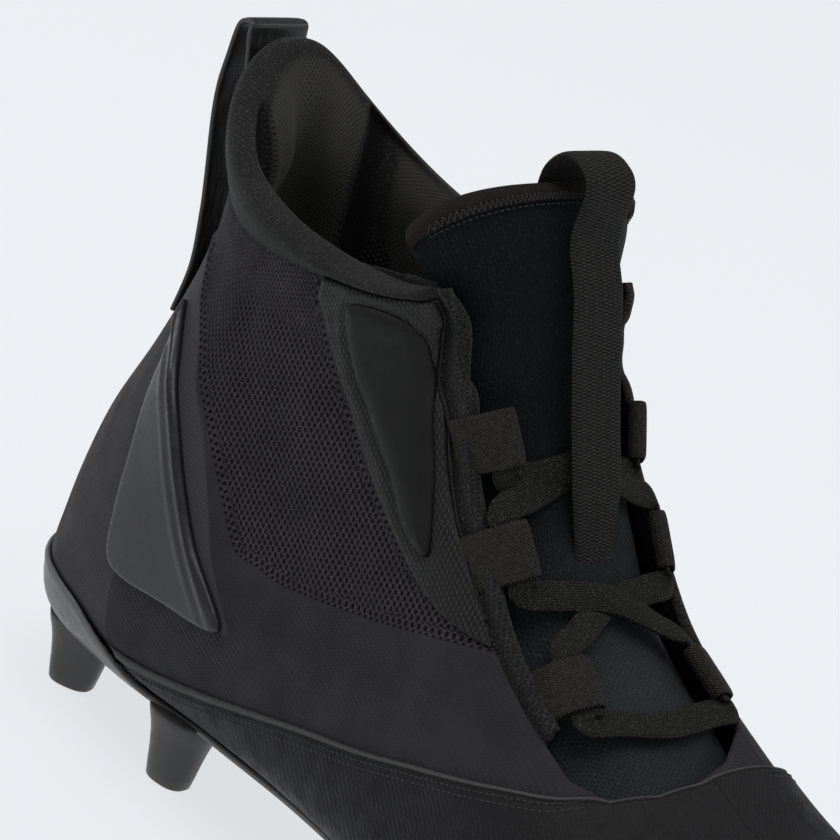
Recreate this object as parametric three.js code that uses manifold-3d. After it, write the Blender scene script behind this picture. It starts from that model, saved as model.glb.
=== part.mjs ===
// A mid-cut football cleat for the right foot, in millimetres.
// +X points to the toe, +Y to the wearer's left (the medial side), +Z up.
// Heights start at the stud tips, and lengths at the back of the heel.
import * as THREE from 'three';
import { mergeVertices } from 'three/addons/utils/BufferGeometryUtils.js';
import Module from 'manifold-3d';

// Driving dimensions
const upperLength = 297; // heel back to toe tip
const ballWidth = 100;
const heelWidth = 74;
const instepHeight = 72; // footbed to the ridge where the throat ends
const ankleHeight = 130; // footbed to the collar's peak at the back
const studHeight = 12;
const plateThickness = 4;
const upperWall = 2;
const sideWall = 2; // the plate's raised wall round the heel and toe
const gap = 0.3; // between pieces that lie on each other
const overlayThickness = 1.2;
const clipThickness = 1.6;
const ankleFrame = 1.4;
const anklePad = 3;
const lastingMargin = 9; // turned-in edge of the upper under the insole
const insoleThickness = 3;
const throatWidth = 53;
const collarPad = 8; // thickness of the roll at the heel
const collarPadFront = 4.2;
const collarBulge = 1.4;
const tongueWidth = 50;
const tongueThickness = 6;
const tongueWrap = 17; // how far the tongue's edges lie behind its middle at the top
const tapeWidth = 16;
const tapeThickness = 1.5;
const tapeRise = 1; // the pull tape's arch above the collar
const tapeBow = 9.5; // how far the tape stands off the collar's back
const strapWidth = 13;
const strapThickness = 1.6;
const strapRise = 8; // the strap's arch above the tongue
const webbingWidth = 12;
const webbingThickness = 1.1;
const laceWidth = 6.5;
const laceThickness = 1.7;
const heelStudDiameter = 15;
const studTipDiameter = 9;
const ballStudDiameter = 14;
const ribWidth = 5;
const ribHeight = 1.8;

const bedHeight = studHeight + plateThickness;

// Sections of the last, from the toe to the collar's top edge. Each is a closed loop in a plane
// through its back (or bottom) point and its front (or top) point. Lengths are shares of the
// upper's length, heights are shares of the instep or ankle height above the footbed, and half
// widths are shares of the ball or heel width. The rounding is a superellipse exponent.
const sectionColumns = ['backX', 'backZ', 'frontX', 'frontZ', 'centre', 'lowLateral', 'highLateral',
  'lowMedial', 'highMedial', 'backRound', 'frontRound', 'dip'];
const footRows = [
  [1.000, 0.194, 1.000, 0.208, 0.090, 0.000, 0.000, 0.000, 0.000, 2.0, 2.0, 0],
  [0.992, 0.111, 0.987, 0.347, 0.090, 0.150, 0.120, 0.150, 0.130, 2.4, 2.2, 0],
  [0.966, 0.056, 0.956, 0.444, 0.080, 0.270, 0.220, 0.260, 0.220, 2.8, 2.3, 0],
  [0.916, 0.021, 0.899, 0.542, 0.060, 0.390, 0.310, 0.370, 0.310, 3.2, 2.5, 0],
  [0.842, -0.007, 0.818, 0.604, 0.030, 0.470, 0.350, 0.440, 0.350, 3.6, 2.6, 0],
  [0.754, -0.021, 0.731, 0.632, 0.010, 0.520, 0.350, 0.480, 0.350, 4.0, 2.7, 0],
  [0.660, -0.014, 0.643, 0.667, 0.000, 0.520, 0.330, 0.460, 0.340, 4.0, 2.8, 0],
  [0.559, 0.014, 0.569, 0.778, 0.000, 0.470, 0.310, 0.400, 0.320, 4.0, 2.8, 0],
  [0.451, 0.042, 0.488, 0.951, 0.000, 0.410, 0.300, 0.360, 0.300, 4.0, 2.8, 0],
];
const ankleRows = [
  [0.343, 0.023, 0.436, 0.652, 0.000, 0.520, 0.392, 0.480, 0.392, 4.0, 2.8, 0],
  [0.236, 0.012, 0.404, 0.758, 0.000, 0.514, 0.385, 0.493, 0.378, 4.0, 2.7, 0],
  [0.125, 0.000, 0.394, 0.838, 0.000, 0.520, 0.378, 0.507, 0.378, 4.2, 2.7, 0],
  [0.024, 0.004, 0.387, 0.877, 0.000, 0.520, 0.378, 0.514, 0.378, 3.2, 2.6, 0],
  [-0.003, 0.115, 0.384, 0.900, 0.000, 0.500, 0.378, 0.505, 0.378, 2.5, 2.6, 0],
  [0.000, 0.300, 0.380, 0.915, 0.000, 0.470, 0.378, 0.475, 0.378, 2.25, 2.6, 0.008],
  [0.017, 0.469, 0.380, 0.923, 0.000, 0.412, 0.392, 0.416, 0.392, 2.1, 2.6, 0.023],
  [0.034, 0.640, 0.380, 0.931, 0.000, 0.366, 0.405, 0.366, 0.400, 2.1, 2.6, 0.038],
  [0.036, 0.796, 0.380, 0.958, 0.000, 0.350, 0.419, 0.348, 0.412, 2.2, 2.6, 0.078],
  [0.032, 0.905, 0.377, 0.982, 0.000, 0.362, 0.428, 0.354, 0.416, 2.3, 2.6, 0.122],
  [0.020, 1.000, 0.374, 1.012, 0.000, 0.378, 0.432, 0.366, 0.418, 2.3, 2.6, 0.168],
];
const seamRow = 17; // where the upper ends and the padded collar starts
const topRow = footRows.length + ankleRows.length - 1;

function sectionFromRow(row, height, width) {
  const section = Object.fromEntries(sectionColumns.map((name, i) => [name, row[i]]));
  for (const name of ['backX', 'frontX']) section[name] *= upperLength;
  for (const name of ['backZ', 'frontZ']) section[name] = bedHeight + section[name] * height;
  for (const name of ['lowLateral', 'highLateral', 'lowMedial', 'highMedial', 'centre']) {
    section[name] *= width;
  }
  section.dip *= height;
  return section;
}
const sections = [
  ...footRows.map((row) => sectionFromRow(row, instepHeight, ballWidth)),
  ...ankleRows.map((row) => sectionFromRow(row, ankleHeight, heelWidth)),
];

// Smooth value through four neighbours, at t between the middle two
function through(a, b, c, d, t) {
  return 0.5 * (2 * b + (c - a) * t + (2 * a - 5 * b + 4 * c - d) * t * t
    + (3 * b - a - 3 * c + d) * t * t * t);
}

function sectionAt(s) {
  const i = Math.min(Math.max(Math.floor(s), 0), topRow - 1);
  const near = [i - 1, i, i + 1, i + 2].map((k) => sections[Math.min(Math.max(k, 0), topRow)]);
  const at = {};
  for (const name of sectionColumns) at[name] = through(...near.map((row) => row[name]), s - i);
  return at;
}

// A point of the last at section s, at an angle from 0 at the back to pi at the front.
// Angles above 0 are on the lateral side.
function lastPoint(s, angle) {
  const at = sectionAt(s);
  const along = Math.cos(angle);
  const across = Math.sin(angle);
  const power = 2 / (along > 0 ? at.backRound : at.frontRound);
  const share = 0.5 - 0.5 * Math.sign(along) * Math.abs(along) ** power;
  const reach = Math.abs(across) ** power;
  const half = across > 0
    ? THREE.MathUtils.lerp(at.lowLateral, at.highLateral, share)
    : THREE.MathUtils.lerp(at.lowMedial, at.highMedial, share);
  return new THREE.Vector3(
    THREE.MathUtils.lerp(at.backX, at.frontX, share),
    at.centre - Math.sign(across) * reach * half,
    THREE.MathUtils.lerp(at.backZ, at.frontZ, share) - at.dip * reach ** 2,
  );
}

function lastNormal(s, angle) {
  const step = 0.02;
  const alongS = lastPoint(s + step, angle).sub(lastPoint(s - step, angle));
  const around = lastPoint(s, angle + step).sub(lastPoint(s, angle - step));
  return around.cross(alongS).normalize();
}

// A point at a height over the last, which may differ under the foot
function skinPoint(s, angle, height, heightBelow = height) {
  const normal = lastNormal(s, angle);
  const down = Math.max(0, -normal.z) ** 2;
  return lastPoint(s, angle).addScaledVector(normal, THREE.MathUtils.lerp(height, heightBelow, down));
}

// Closed meshes
function geometryOf(points, faces) {
  const geometry = new THREE.BufferGeometry();
  const numbers = points.flatMap((point) => point.toArray());
  geometry.setAttribute('position', new THREE.Float32BufferAttribute(numbers, 3));
  geometry.setIndex(faces.flat());
  return geometry;
}

// Rings of points joined into a closed skin, with a fan over each end
function skinOfRings(rings) {
  const count = rings[0].length;
  const points = rings.flat();
  const faces = [];
  for (let i = 0; i + 1 < rings.length; i += 1) {
    for (let j = 0; j < count; j += 1) {
      const next = (j + 1) % count;
      const a = i * count + j;
      const b = i * count + next;
      faces.push([a, b, b + count], [a, b + count, a + count]);
    }
  }
  const ends = [[rings[0], 0, true], [rings.at(-1), (rings.length - 1) * count, false]];
  for (const [ring, offset, turned] of ends) {
    const middle = new THREE.Vector3();
    for (const point of ring) middle.addScaledVector(point, 1 / count);
    points.push(middle);
    for (let j = 0; j < count; j += 1) {
      const edge = [offset + j, offset + ((j + 1) % count)];
      if (turned) edge.reverse();
      faces.push([...edge, points.length - 1]);
    }
  }
  return geometryOf(points, faces);
}

// Solids for cutting and joining
const wasm = await Module();
wasm.setup();

function solid(geometry) {
  const bare = geometry.index ? geometry.clone() : mergeVertices(geometry.clone(), 1e-4);
  for (const name of ['normal', 'uv']) bare.deleteAttribute(name);
  const merged = mergeVertices(bare, 1e-4);
  const index = merged.index.array;
  const faces = [];
  for (let i = 0; i < index.length; i += 3) {
    const [a, b, c] = [index[i], index[i + 1], index[i + 2]];
    if (a !== b && b !== c && c !== a) faces.push(a, b, c);
  }
  const mesh = new wasm.Mesh({
    numProp: 3,
    vertProperties: new Float32Array(merged.attributes.position.array),
    triVerts: new Uint32Array(faces),
  });
  const body = new wasm.Manifold(mesh);
  if (body.volume() > 0) return body;
  for (let i = 0; i < faces.length; i += 3) [faces[i], faces[i + 1]] = [faces[i + 1], faces[i]];
  mesh.triVerts = new Uint32Array(faces);
  return new wasm.Manifold(mesh);
}

const group = new THREE.Group();

function addPiece(name, body, color, roughness, metalness = 0) {
  let geometry = body;
  if (!body.isBufferGeometry) {
    const mesh = body.getMesh();
    geometry = new THREE.BufferGeometry();
    geometry.setAttribute('position', new THREE.Float32BufferAttribute(mesh.vertProperties, 3));
    geometry.setIndex(Array.from(mesh.triVerts));
  }
  const piece = new THREE.Mesh(geometry, new THREE.MeshStandardMaterial({ color, roughness, metalness }));
  piece.name = name;
  group.add(piece);
}

// The whole last grown or shrunk by a height, closed at a section near the collar
const aroundCount = 24;
const firstRing = 0.12;
const toeStep = 0.5; // between rings up to the toe's second section
const ringStep = 0.75;
function ringAngles() {
  return Array.from({ length: aroundCount }, (_, j) => {
    const even = (2 * Math.PI * (j + 0.5)) / aroundCount;
    return even - 0.2 * Math.sin(4 * even);
  });
}
function nextRing(s) {
  return s < 2 ? Math.floor(s / toeStep + 1.01) * toeStep : s + ringStep;
}
function lastSolid(height, { heightBelow = height, toSection = seamRow, raise = 0 } = {}) {
  const angles = ringAngles();
  const rings = [];
  for (let s = firstRing; s < toSection + 0.01; s = nextRing(s)) {
    rings.push(angles.map((angle) => skinPoint(s, angle, height, heightBelow)));
  }
  if (raise) rings.push(rings.at(-1).map((point) => point.clone().setZ(point.z + raise)));
  return solid(skinOfRings(rings));
}

// A side-view or plan outline made a prism that is wider than the shoe
const farOut = ballWidth; // beyond any side of the shoe
function sidePrism(points, { from = -farOut, to = farOut } = {}) {
  const shape = new THREE.Shape(points.map(([x, z]) => new THREE.Vector2(x, z)));
  const prism = new THREE.ExtrudeGeometry(shape, { depth: to - from, bevelEnabled: false });
  prism.rotateX(Math.PI / 2);
  prism.translate(0, to, 0);
  return solid(prism);
}
function planPrism(points, bottom, top) {
  const shape = new THREE.Shape(points.map(([x, y]) => new THREE.Vector2(x, y)));
  const prism = new THREE.ExtrudeGeometry(shape, { depth: top - bottom, bevelEnabled: false });
  prism.translate(0, 0, bottom);
  return solid(prism);
}

// Smooth curve through points given as pairs
function curveThrough(pairs, count, closed = false) {
  const curve = new THREE.CatmullRomCurve3(pairs.map(([a, b]) => new THREE.Vector3(a, b, 0)), closed);
  const points = curve.getPoints(count);
  if (closed) points.pop();
  return points.map((point) => [point.x, point.y]);
}

// Footbed line under the foot, from the heel to the toe
const bedSections = 12; // sections from the toe's second to the last one that lies on the footbed
function bedLine(raise) {
  const rows = sections.slice(1, bedSections + 1).map((at) => [at.backX, at.backZ + raise]);
  return rows.reverse();
}
const behind = -farOut;
const ahead = upperLength + farOut;
const highUp = bedHeight + 2 * ankleHeight;

// Outsole: plate with a raised wall, studs and ribs
// Top of the side wall: lengths are shares of the upper's length, heights of the wall's rise
const wallRise = 12;
const wallRows = [
  { x: -0.10, rise: 1.12 }, { x: 0.04, rise: 1.08 }, { x: 0.085, rise: 1.04 }, { x: 0.114, rise: 1.10 },
  { x: 0.130, rise: 0.75 }, { x: 0.155, rise: 0.40 }, { x: 0.200, rise: 0.24 }, { x: 0.300, rise: 0.38 },
  { x: 0.450, rise: 0.40 }, { x: 0.660, rise: 0.12 }, { x: 0.840, rise: 0.18 }, { x: 0.930, rise: 0.55 },
  { x: 0.975, rise: 1.05 }, { x: 1.100, rise: 1.20 },
];
function wallLine(raise) {
  const pairs = wallRows.map(({ x, rise }) => [x * upperLength, bedHeight + rise * wallRise + raise]);
  return curveThrough(pairs, 36);
}
function belowWall(raise) {
  return sidePrism([...wallLine(raise), [ahead, -highUp], [behind, -highUp]]);
}
function aboveWall(raise) {
  return sidePrism([...wallLine(raise), [ahead, highUp], [behind, highUp]]);
}

// Studs: lengths are shares of the upper's length, offsets of the ball width, + is medial
const studRows = [
  { x: 0.062, y: -0.175, base: heelStudDiameter, turn: 0.5 },
  { x: 0.062, y: 0.175, base: heelStudDiameter, turn: -0.5 },
  { x: 0.200, y: -0.215, base: heelStudDiameter, turn: 0.15 },
  { x: 0.200, y: 0.215, base: heelStudDiameter, turn: -0.15 },
  { x: 0.590, y: -0.345, base: ballStudDiameter, turn: 0 },
  { x: 0.590, y: 0.285, base: ballStudDiameter, turn: 0 },
  { x: 0.705, y: -0.380, base: ballStudDiameter, turn: 0.1 },
  { x: 0.705, y: 0.345, base: ballStudDiameter, turn: -0.1 },
  { x: 0.820, y: -0.320, base: ballStudDiameter, turn: 0.3 },
  { x: 0.820, y: 0.330, base: ballStudDiameter, turn: -0.3 },
  { x: 0.905, y: -0.110, base: ballStudDiameter, turn: 0.5 },
  { x: 0.905, y: 0.260, base: ballStudDiameter, turn: -0.5 },
];
function bedHeightAt(x) {
  const line = bedLine(0);
  const i = Math.max(1, line.findIndex(([px]) => px > x));
  const [[x0, z0], [x1, z1]] = [line[i - 1], line[i]];
  return z0 + ((z1 - z0) * (x - x0)) / (x1 - x0);
}
// A stud is an oval block that narrows to its tip, long along its turned axis
function studSolid({ x, y, base, turn }) {
  const top = bedHeightAt(x * upperLength) - plateThickness * 0.5;
  const waist = top - plateThickness * 0.5;
  const levels = [
    { z: 0, width: studTipDiameter * 0.94 },
    { z: 1, width: studTipDiameter },
    { z: waist * 0.75, width: base * 0.8 },
    { z: top, width: base },
  ];
  const sides = 10;
  const rings = levels.map(({ z, width }) => Array.from({ length: sides }, (_, k) => {
    const a = (2 * Math.PI * k) / sides;
    const long = Math.sign(Math.cos(a)) * Math.abs(Math.cos(a)) ** 0.8 * width * 0.56;
    const short = Math.sign(Math.sin(a)) * Math.abs(Math.sin(a)) ** 0.8 * width * 0.42;
    return new THREE.Vector3(
      x * upperLength + long * Math.cos(turn) - short * Math.sin(turn),
      y * ballWidth + long * Math.sin(turn) + short * Math.cos(turn),
      z,
    );
  }));
  return solid(skinOfRings(rings));
}

// Low ribs under the plate, each between two points in shares of length and ball width
const ribRows = [
  { x0: 0.20, y0: -0.17, x1: 0.590, y1: -0.12 },
  { x0: 0.20, y0: 0.17, x1: 0.590, y1: 0.10 },
  { x0: 0.590, y0: -0.12, x1: 0.820, y1: -0.16 },
  { x0: 0.590, y0: 0.10, x1: 0.820, y1: 0.16 },
];
function ribSolid({ x0, y0, x1, y1 }) {
  const stations = 5;
  const rings = [];
  for (let i = 0; i < stations; i += 1) {
    const t = i / (stations - 1);
    const x = upperLength * THREE.MathUtils.lerp(x0, x1, t);
    const y = ballWidth * THREE.MathUtils.lerp(y0, y1, t);
    const under = bedHeightAt(x) - plateThickness;
    const ring = [[-0.5, 1.5], [0.5, 1.5], [0.5, 0], [0.28, -ribHeight], [-0.28, -ribHeight], [-0.5, 0]];
    rings.push(ring.map(([across, up]) => new THREE.Vector3(x, y + across * ribWidth, under + up)));
  }
  return solid(skinOfRings(rings));
}

const outer = lastSolid(0);
const inner = lastSolid(-upperWall, { toSection: topRow - 1, raise: ankleHeight });
const overUpper = lastSolid(gap);

const cup = lastSolid(sideWall, { heightBelow: plateThickness }).intersect(belowWall(0));
let outsole = cup.subtract(overUpper);
for (const row of studRows) outsole = outsole.add(studSolid(row).subtract(overUpper));
for (const row of ribRows) outsole = outsole.add(ribSolid(row));
addPiece('outsole', outsole, 0x2b2c2e, 0.42);

// Upper: a shell open at the collar, at the throat and underneath, with a turned-in margin
// Plan of the throat, from the ankle's medial side round the front to its lateral side: lengths
// are shares of the upper's length, offsets of half the throat's width, + is medial
const throatRows = [
  { x: 0.200, y: 0.96 }, { x: 0.330, y: 0.86 }, { x: 0.400, y: 0.96 }, { x: 0.470, y: 1.00 },
  { x: 0.525, y: 0.92 }, { x: 0.560, y: 0.72 }, { x: 0.590, y: 0.30 }, { x: 0.604, y: -0.14 },
  { x: 0.607, y: -0.56 }, { x: 0.597, y: -0.88 }, { x: 0.570, y: -1.02 }, { x: 0.520, y: -1.02 },
  { x: 0.470, y: -1.00 }, { x: 0.400, y: -0.96 }, { x: 0.330, y: -0.86 }, { x: 0.200, y: -0.96 },
];
const throatLine = throatRows.map(({ x, y }) => [x * upperLength, y * throatWidth * 0.5]);
const throatFoot = 0.42; // height above the footbed where the cut starts, as a share of the instep's
const throatCut = planPrism(throatLine, bedHeight + instepHeight * throatFoot, highUp);

// The eyestay's top corner, rounded down towards the throat: shares of length and ankle height
const cornerRows = [
  { x: 0.310, z: 0.900 }, { x: 0.326, z: 0.868 }, { x: 0.340, z: 0.826 }, { x: 0.354, z: 0.768 },
];
const cornerLine = cornerRows.map(({ x, z }) => [x * upperLength, bedHeight + z * ankleHeight]);
const cornerCut = sidePrism([
  [cornerLine[0][0], highUp], ...cornerLine, [ahead, cornerLine.at(-1)[1]], [ahead, highUp],
]);

// Plan of the opening under the foot, a margin in from the footbed's edge
const bedRows = [
  { x: 0.06, lateral: 0.20, medial: 0.20 }, { x: 0.22, lateral: 0.34, medial: 0.32 },
  { x: 0.42, lateral: 0.36, medial: 0.30 }, { x: 0.60, lateral: 0.46, medial: 0.40 },
  { x: 0.78, lateral: 0.48, medial: 0.45 }, { x: 0.91, lateral: 0.30, medial: 0.40 },
  { x: 0.955, lateral: 0.10, medial: 0.24 },
];
const bedPlan = [
  ...bedRows.map(({ x, lateral }) => [x * upperLength, -(lateral * ballWidth - lastingMargin)]),
  ...bedRows.map(({ x, medial }) => [x * upperLength, medial * ballWidth - lastingMargin]).reverse(),
];
const bedCutTop = 0.3; // share of the instep's height
const bedCut = planPrism(curveThrough(bedPlan, 28, true), 0, bedHeight + instepHeight * bedCutTop);

const upper = outer.subtract(inner).subtract(throatCut).subtract(cornerCut).subtract(bedCut);
addPiece('upper', upper, 0x1b1b1c, 0.62);

// Insole on the turned-in margin
function belowBed(raise) {
  const line = bedLine(raise);
  return sidePrism([
    [behind, line[0][1]], ...line, [ahead, line.at(-1)[1]], [ahead, -highUp], [behind, -highUp],
  ]);
}
const insoleClearance = 0.8;
const insole = lastSolid(-upperWall - insoleClearance)
  .intersect(belowBed(upperWall + insoleClearance + insoleThickness));
addPiece('insole', insole, 0x232325, 0.85);

// Overlays lie on the upper: each is a layer of the last's own form cut by an outline
function overlay(thickness) {
  return lastSolid(gap + thickness).subtract(overUpper);
}
const lateralHalf = { from: -farOut, to: 0 };
const medialHalf = { from: 0, to: farOut };
const sides = [['lateral', lateralHalf], ['medial', medialHalf]];
const sidePoints = (rows) => rows.map(({ x, z }) => [x * upperLength, bedHeight + z * ankleHeight]);

// Forefoot shell: its edge climbs from the heel to the throat's front
const vampRows = [
  { x: 0.130, z: 0.050 }, { x: 0.190, z: 0.075 }, { x: 0.250, z: 0.112 }, { x: 0.303, z: 0.150 },
  { x: 0.355, z: 0.188 }, { x: 0.414, z: 0.227 }, { x: 0.471, z: 0.272 }, { x: 0.538, z: 0.326 },
  { x: 0.580, z: 0.362 }, { x: 0.600, z: 0.420 },
];
const vampLine = sidePoints(vampRows);
const vampRegion = sidePrism([
  [vampLine[0][0], 0], ...vampLine, [vampLine.at(-1)[0], highUp], [ahead, highUp], [ahead, 0],
]);
const vampShell = overlay(overlayThickness).intersect(vampRegion).subtract(throatCut);
addPiece('vamp_shell', vampShell.intersect(aboveWall(gap)), 0x1d1d1e, 0.55);

// Heel clips: pennants that narrow upwards along the back of the heel
const clipRows = [
  { x: 0.072, z: 0.592 }, { x: 0.094, z: 0.520 }, { x: 0.104, z: 0.415 }, { x: 0.115, z: 0.285 },
  { x: 0.130, z: 0.192 }, { x: 0.254, z: 0.225 }, { x: 0.206, z: 0.312 }, { x: 0.173, z: 0.392 },
  { x: 0.138, z: 0.488 }, { x: 0.111, z: 0.542 },
];
for (const [side, half] of sides) {
  const region = sidePrism(sidePoints(clipRows), half);
  addPiece(`heel_clip_${side}`, overlay(clipThickness).intersect(region), 0x26272a, 0.22);
}

// Ankle pads in their raised frames, between the side mesh and the throat
const padRows = [
  { x: 0.258, z: 0.786 }, { x: 0.270, z: 0.812 }, { x: 0.300, z: 0.826 }, { x: 0.318, z: 0.815 },
  { x: 0.333, z: 0.780 }, { x: 0.352, z: 0.715 }, { x: 0.376, z: 0.628 }, { x: 0.398, z: 0.535 },
  { x: 0.372, z: 0.548 }, { x: 0.338, z: 0.614 }, { x: 0.308, z: 0.660 }, { x: 0.280, z: 0.712 },
];
const frameRows = [
  { x: 0.226, z: 0.775 }, { x: 0.240, z: 0.752 }, { x: 0.262, z: 0.705 }, { x: 0.284, z: 0.660 },
  { x: 0.308, z: 0.620 }, { x: 0.332, z: 0.580 }, { x: 0.366, z: 0.530 }, { x: 0.402, z: 0.490 },
  { x: 0.440, z: 0.470 }, { x: 0.600, z: 0.470 }, { x: 0.600, z: 1.200 }, { x: 0.226, z: 1.200 },
];
function middleOf(points) {
  const sum = points.reduce(([a, b], [x, z]) => [a + x, b + z], [0, 0]);
  return sum.map((value) => value / points.length);
}
function grown(points, reach) {
  const [mx, mz] = middleOf(points);
  return points.map(([x, z]) => {
    const far = Math.hypot(x - mx, z - mz);
    return [mx + (x - mx) * (1 + reach / far), mz + (z - mz) * (1 + reach / far)];
  });
}
const padPoints = sidePoints(padRows);
const padGap = 0.9; // round each pad in its frame
for (const [side, half] of sides) {
  const frame = overlay(ankleFrame).intersect(sidePrism(sidePoints(frameRows), half));
  addPiece(`ankle_frame_${side}`, frame.subtract(throatCut).subtract(cornerCut)
    .subtract(sidePrism(grown(padPoints, padGap), half)), 0x212122, 0.5);
  addPiece(`ankle_pad_${side}`, overlay(anklePad).intersect(sidePrism(padPoints, half)), 0x242425, 0.6);
}

// Collar: a padded roll on the upper's edge, from eyestay to eyestay round the heel.
// Its section goes up the outside, over the top and down the inside: depth is a share of the
// pad, and rise a share of the way from the seam to the collar's top section.
const collarEnd = 2.16; // angle of each end from the heel
const collarRows = [
  { depth: 0, rise: 0.1 }, { depth: 0, rise: 0.45 }, { depth: 0.03, rise: 0.8 }, { depth: 0.25, rise: 1 },
  { depth: 0.7, rise: 1 }, { depth: 0.95, rise: 0.85 }, { depth: 1, rise: 0.5 }, { depth: 1, rise: 0.1 },
];
const collarStations = 28;
const collarRings = Array.from({ length: collarStations + 1 }, (_, i) => {
  const angle = -collarEnd + (2 * collarEnd * i) / collarStations;
  const pad = THREE.MathUtils.lerp(collarPad, collarPadFront, (Math.abs(angle) / collarEnd) ** 2);
  return collarRows.map(({ depth, rise }) => {
    const bulge = collarBulge * Math.sin(Math.PI * Math.min(1, rise * 0.9));
    const s = seamRow + rise * (topRow - seamRow) * 0.99;
    return skinPoint(s, angle, bulge * (1 - depth) - depth * pad);
  });
});
addPiece('collar', solid(skinOfRings(collarRings)), 0x1e1e1f, 0.85);

// Slabs: a grid of points and normals made a closed sheet of a thickness that thins at its rim
function slab(rows, columns, pointAt, thicknessAt) {
  const top = [];
  const under = [];
  for (let i = 0; i <= rows; i += 1) {
    for (let j = 0; j <= columns; j += 1) {
      const { point, normal } = pointAt(i / rows, (2 * j) / columns - 1);
      top.push(point);
      under.push(point.clone().addScaledVector(normal, -thicknessAt(i / rows, (2 * j) / columns - 1)));
    }
  }
  const at = (i, j) => i * (columns + 1) + j;
  const faces = [];
  for (let i = 0; i < rows; i += 1) {
    for (let j = 0; j < columns; j += 1) {
      const quad = [at(i, j), at(i + 1, j), at(i + 1, j + 1), at(i, j + 1)];
      faces.push([quad[0], quad[1], quad[2]], [quad[0], quad[2], quad[3]]);
      const below = quad.map((k) => k + top.length);
      faces.push([below[0], below[2], below[1]], [below[0], below[3], below[2]]);
    }
  }
  const rim = [];
  for (let j = 0; j < columns; j += 1) rim.push(at(0, j));
  for (let i = 0; i < rows; i += 1) rim.push(at(i, columns));
  for (let j = columns; j > 0; j -= 1) rim.push(at(rows, j));
  for (let i = rows; i > 0; i -= 1) rim.push(at(i, 0));
  rim.forEach((a, k) => {
    const b = rim[(k + 1) % rim.length];
    faces.push([a, b, b + top.length], [a, b + top.length, a + top.length]);
  });
  return solid(geometryOf([...top, ...under], faces));
}

// Tongue: its middle line in the side view, in shares of the upper's length and ankle height,
// its half width as a share of the tongue's and how far its edges fall behind the middle, as a
// share of the tongue's wrap
const tongueColumns = ['x', 'z', 'half', 'fall'];
const tongueRows = [
  [0.620, 0.320, 0.80, 0.30], [0.562, 0.402, 1.00, 0.60], [0.476, 0.505, 1.08, 1.10],
  [0.430, 0.625, 1.06, 1.30], [0.398, 0.732, 0.96, 1.30], [0.381, 0.815, 0.84, 1.20],
  [0.369, 0.885, 0.82, 1.15], [0.357, 0.945, 0.91, 1.10], [0.343, 1.010, 1.12, 1.20],
  [0.328, 1.069, 1.24, 1.15],
];
function tongueAt(t) {
  const place = t * (tongueRows.length - 1);
  const i = Math.min(Math.floor(place), tongueRows.length - 2);
  const row = (k) => tongueRows[Math.min(Math.max(k, 0), tongueRows.length - 1)];
  const at = {};
  tongueColumns.forEach((name, c) => {
    at[name] = through(row(i - 1)[c], row(i)[c], row(i + 1)[c], row(i + 2)[c], place - i);
  });
  return new THREE.Vector4(at.x * upperLength, bedHeight + at.z * ankleHeight,
    at.half * tongueWidth * 0.5, at.fall * tongueWrap);
}
// A point of the tongue's face: t runs from the vamp to the top, v from the lateral edge, -1, to 1
function tonguePoint(t, v) {
  const here = tongueAt(t);
  const next = tongueAt(Math.min(t + 0.01, 1));
  const before = tongueAt(Math.max(t - 0.01, 0));
  const inward = new THREE.Vector3(-(next.y - before.y), 0, next.x - before.x).normalize();
  const back = here.w * Math.abs(v) ** 3;
  return new THREE.Vector3(here.x, v * here.z, here.y).addScaledVector(inward, back);
}
function tongueNormal(t, v) {
  const e = 0.01;
  const along = tonguePoint(Math.min(t + e, 1), v).sub(tonguePoint(Math.max(t - e, 0), v));
  const across = tonguePoint(t, Math.min(v + e, 1)).sub(tonguePoint(t, Math.max(v - e, -1)));
  return across.cross(along).normalize();
}
const tongueDome = 0.11; // how much shorter its corners are than its middle, as a share
const tongueRim = 0.35; // thickness of its edge, as a share
const tongueBody = slab(12, 10, (t, v) => {
  const domed = t * (1 - tongueDome * v ** 4);
  return { point: tonguePoint(domed, v), normal: tongueNormal(domed, v) };
}, (t, v) => {
  const side = Math.sqrt(1 - v ** 6);
  const top = Math.sqrt(1 - Math.max(0, 2 * t - 1) ** 8);
  return tongueThickness * (tongueRim + (1 - tongueRim) * side * top);
});
addPiece('tongue', tongueBody, 0x14161a, 0.8);

// Flat bands: a ribbon of a width and thickness along points that each have a normal
function band(stations, width, thickness) {
  const rings = stations.map(({ point, normal }, i) => {
    const before = stations[Math.max(i - 1, 0)].point;
    const after = stations[Math.min(i + 1, stations.length - 1)].point;
    const along = after.clone().sub(before).normalize();
    const across = along.clone().cross(normal).normalize();
    const up = across.clone().cross(along).normalize();
    return [[-1, -1], [1, -1], [1, 1], [-1, 1]].map(([a, b]) => point.clone()
      .addScaledVector(across, (a * width) / 2).addScaledVector(up, (b * thickness) / 2));
  });
  return solid(skinOfRings(rings));
}
// Stations along a smooth line in the shoe's middle plane, with normals away from a middle point
function middleStations(pairs, count) {
  const line = curveThrough(pairs, count);
  return line.map(([x, z], i) => {
    const [x0, z0] = line[Math.max(i - 1, 0)];
    const [x1, z1] = line[Math.min(i + 1, line.length - 1)];
    const normal = new THREE.Vector3(z0 - z1, 0, x1 - x0).normalize();
    return { point: new THREE.Vector3(x, 0, z), normal };
  });
}

// Pull tape: sewn to the heel's back at its foot, it stands off the collar, arches over at the
// collar's height and comes down its outer face. off is a share of the bow.
const tapeClearance = 0.5;
const tapeSeat = gap + tapeThickness / 2 + tapeClearance;
const tapeRows = [
  { s: 15.2, off: 0 }, { s: 15.7, off: 0.12 }, { s: 16.23, off: 0.45 }, { s: 16.6, off: 0.65 },
  { s: 17.35, off: 0.97 }, { s: 18, off: 1 }, { s: 18.5, off: 0.81 },
];
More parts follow.
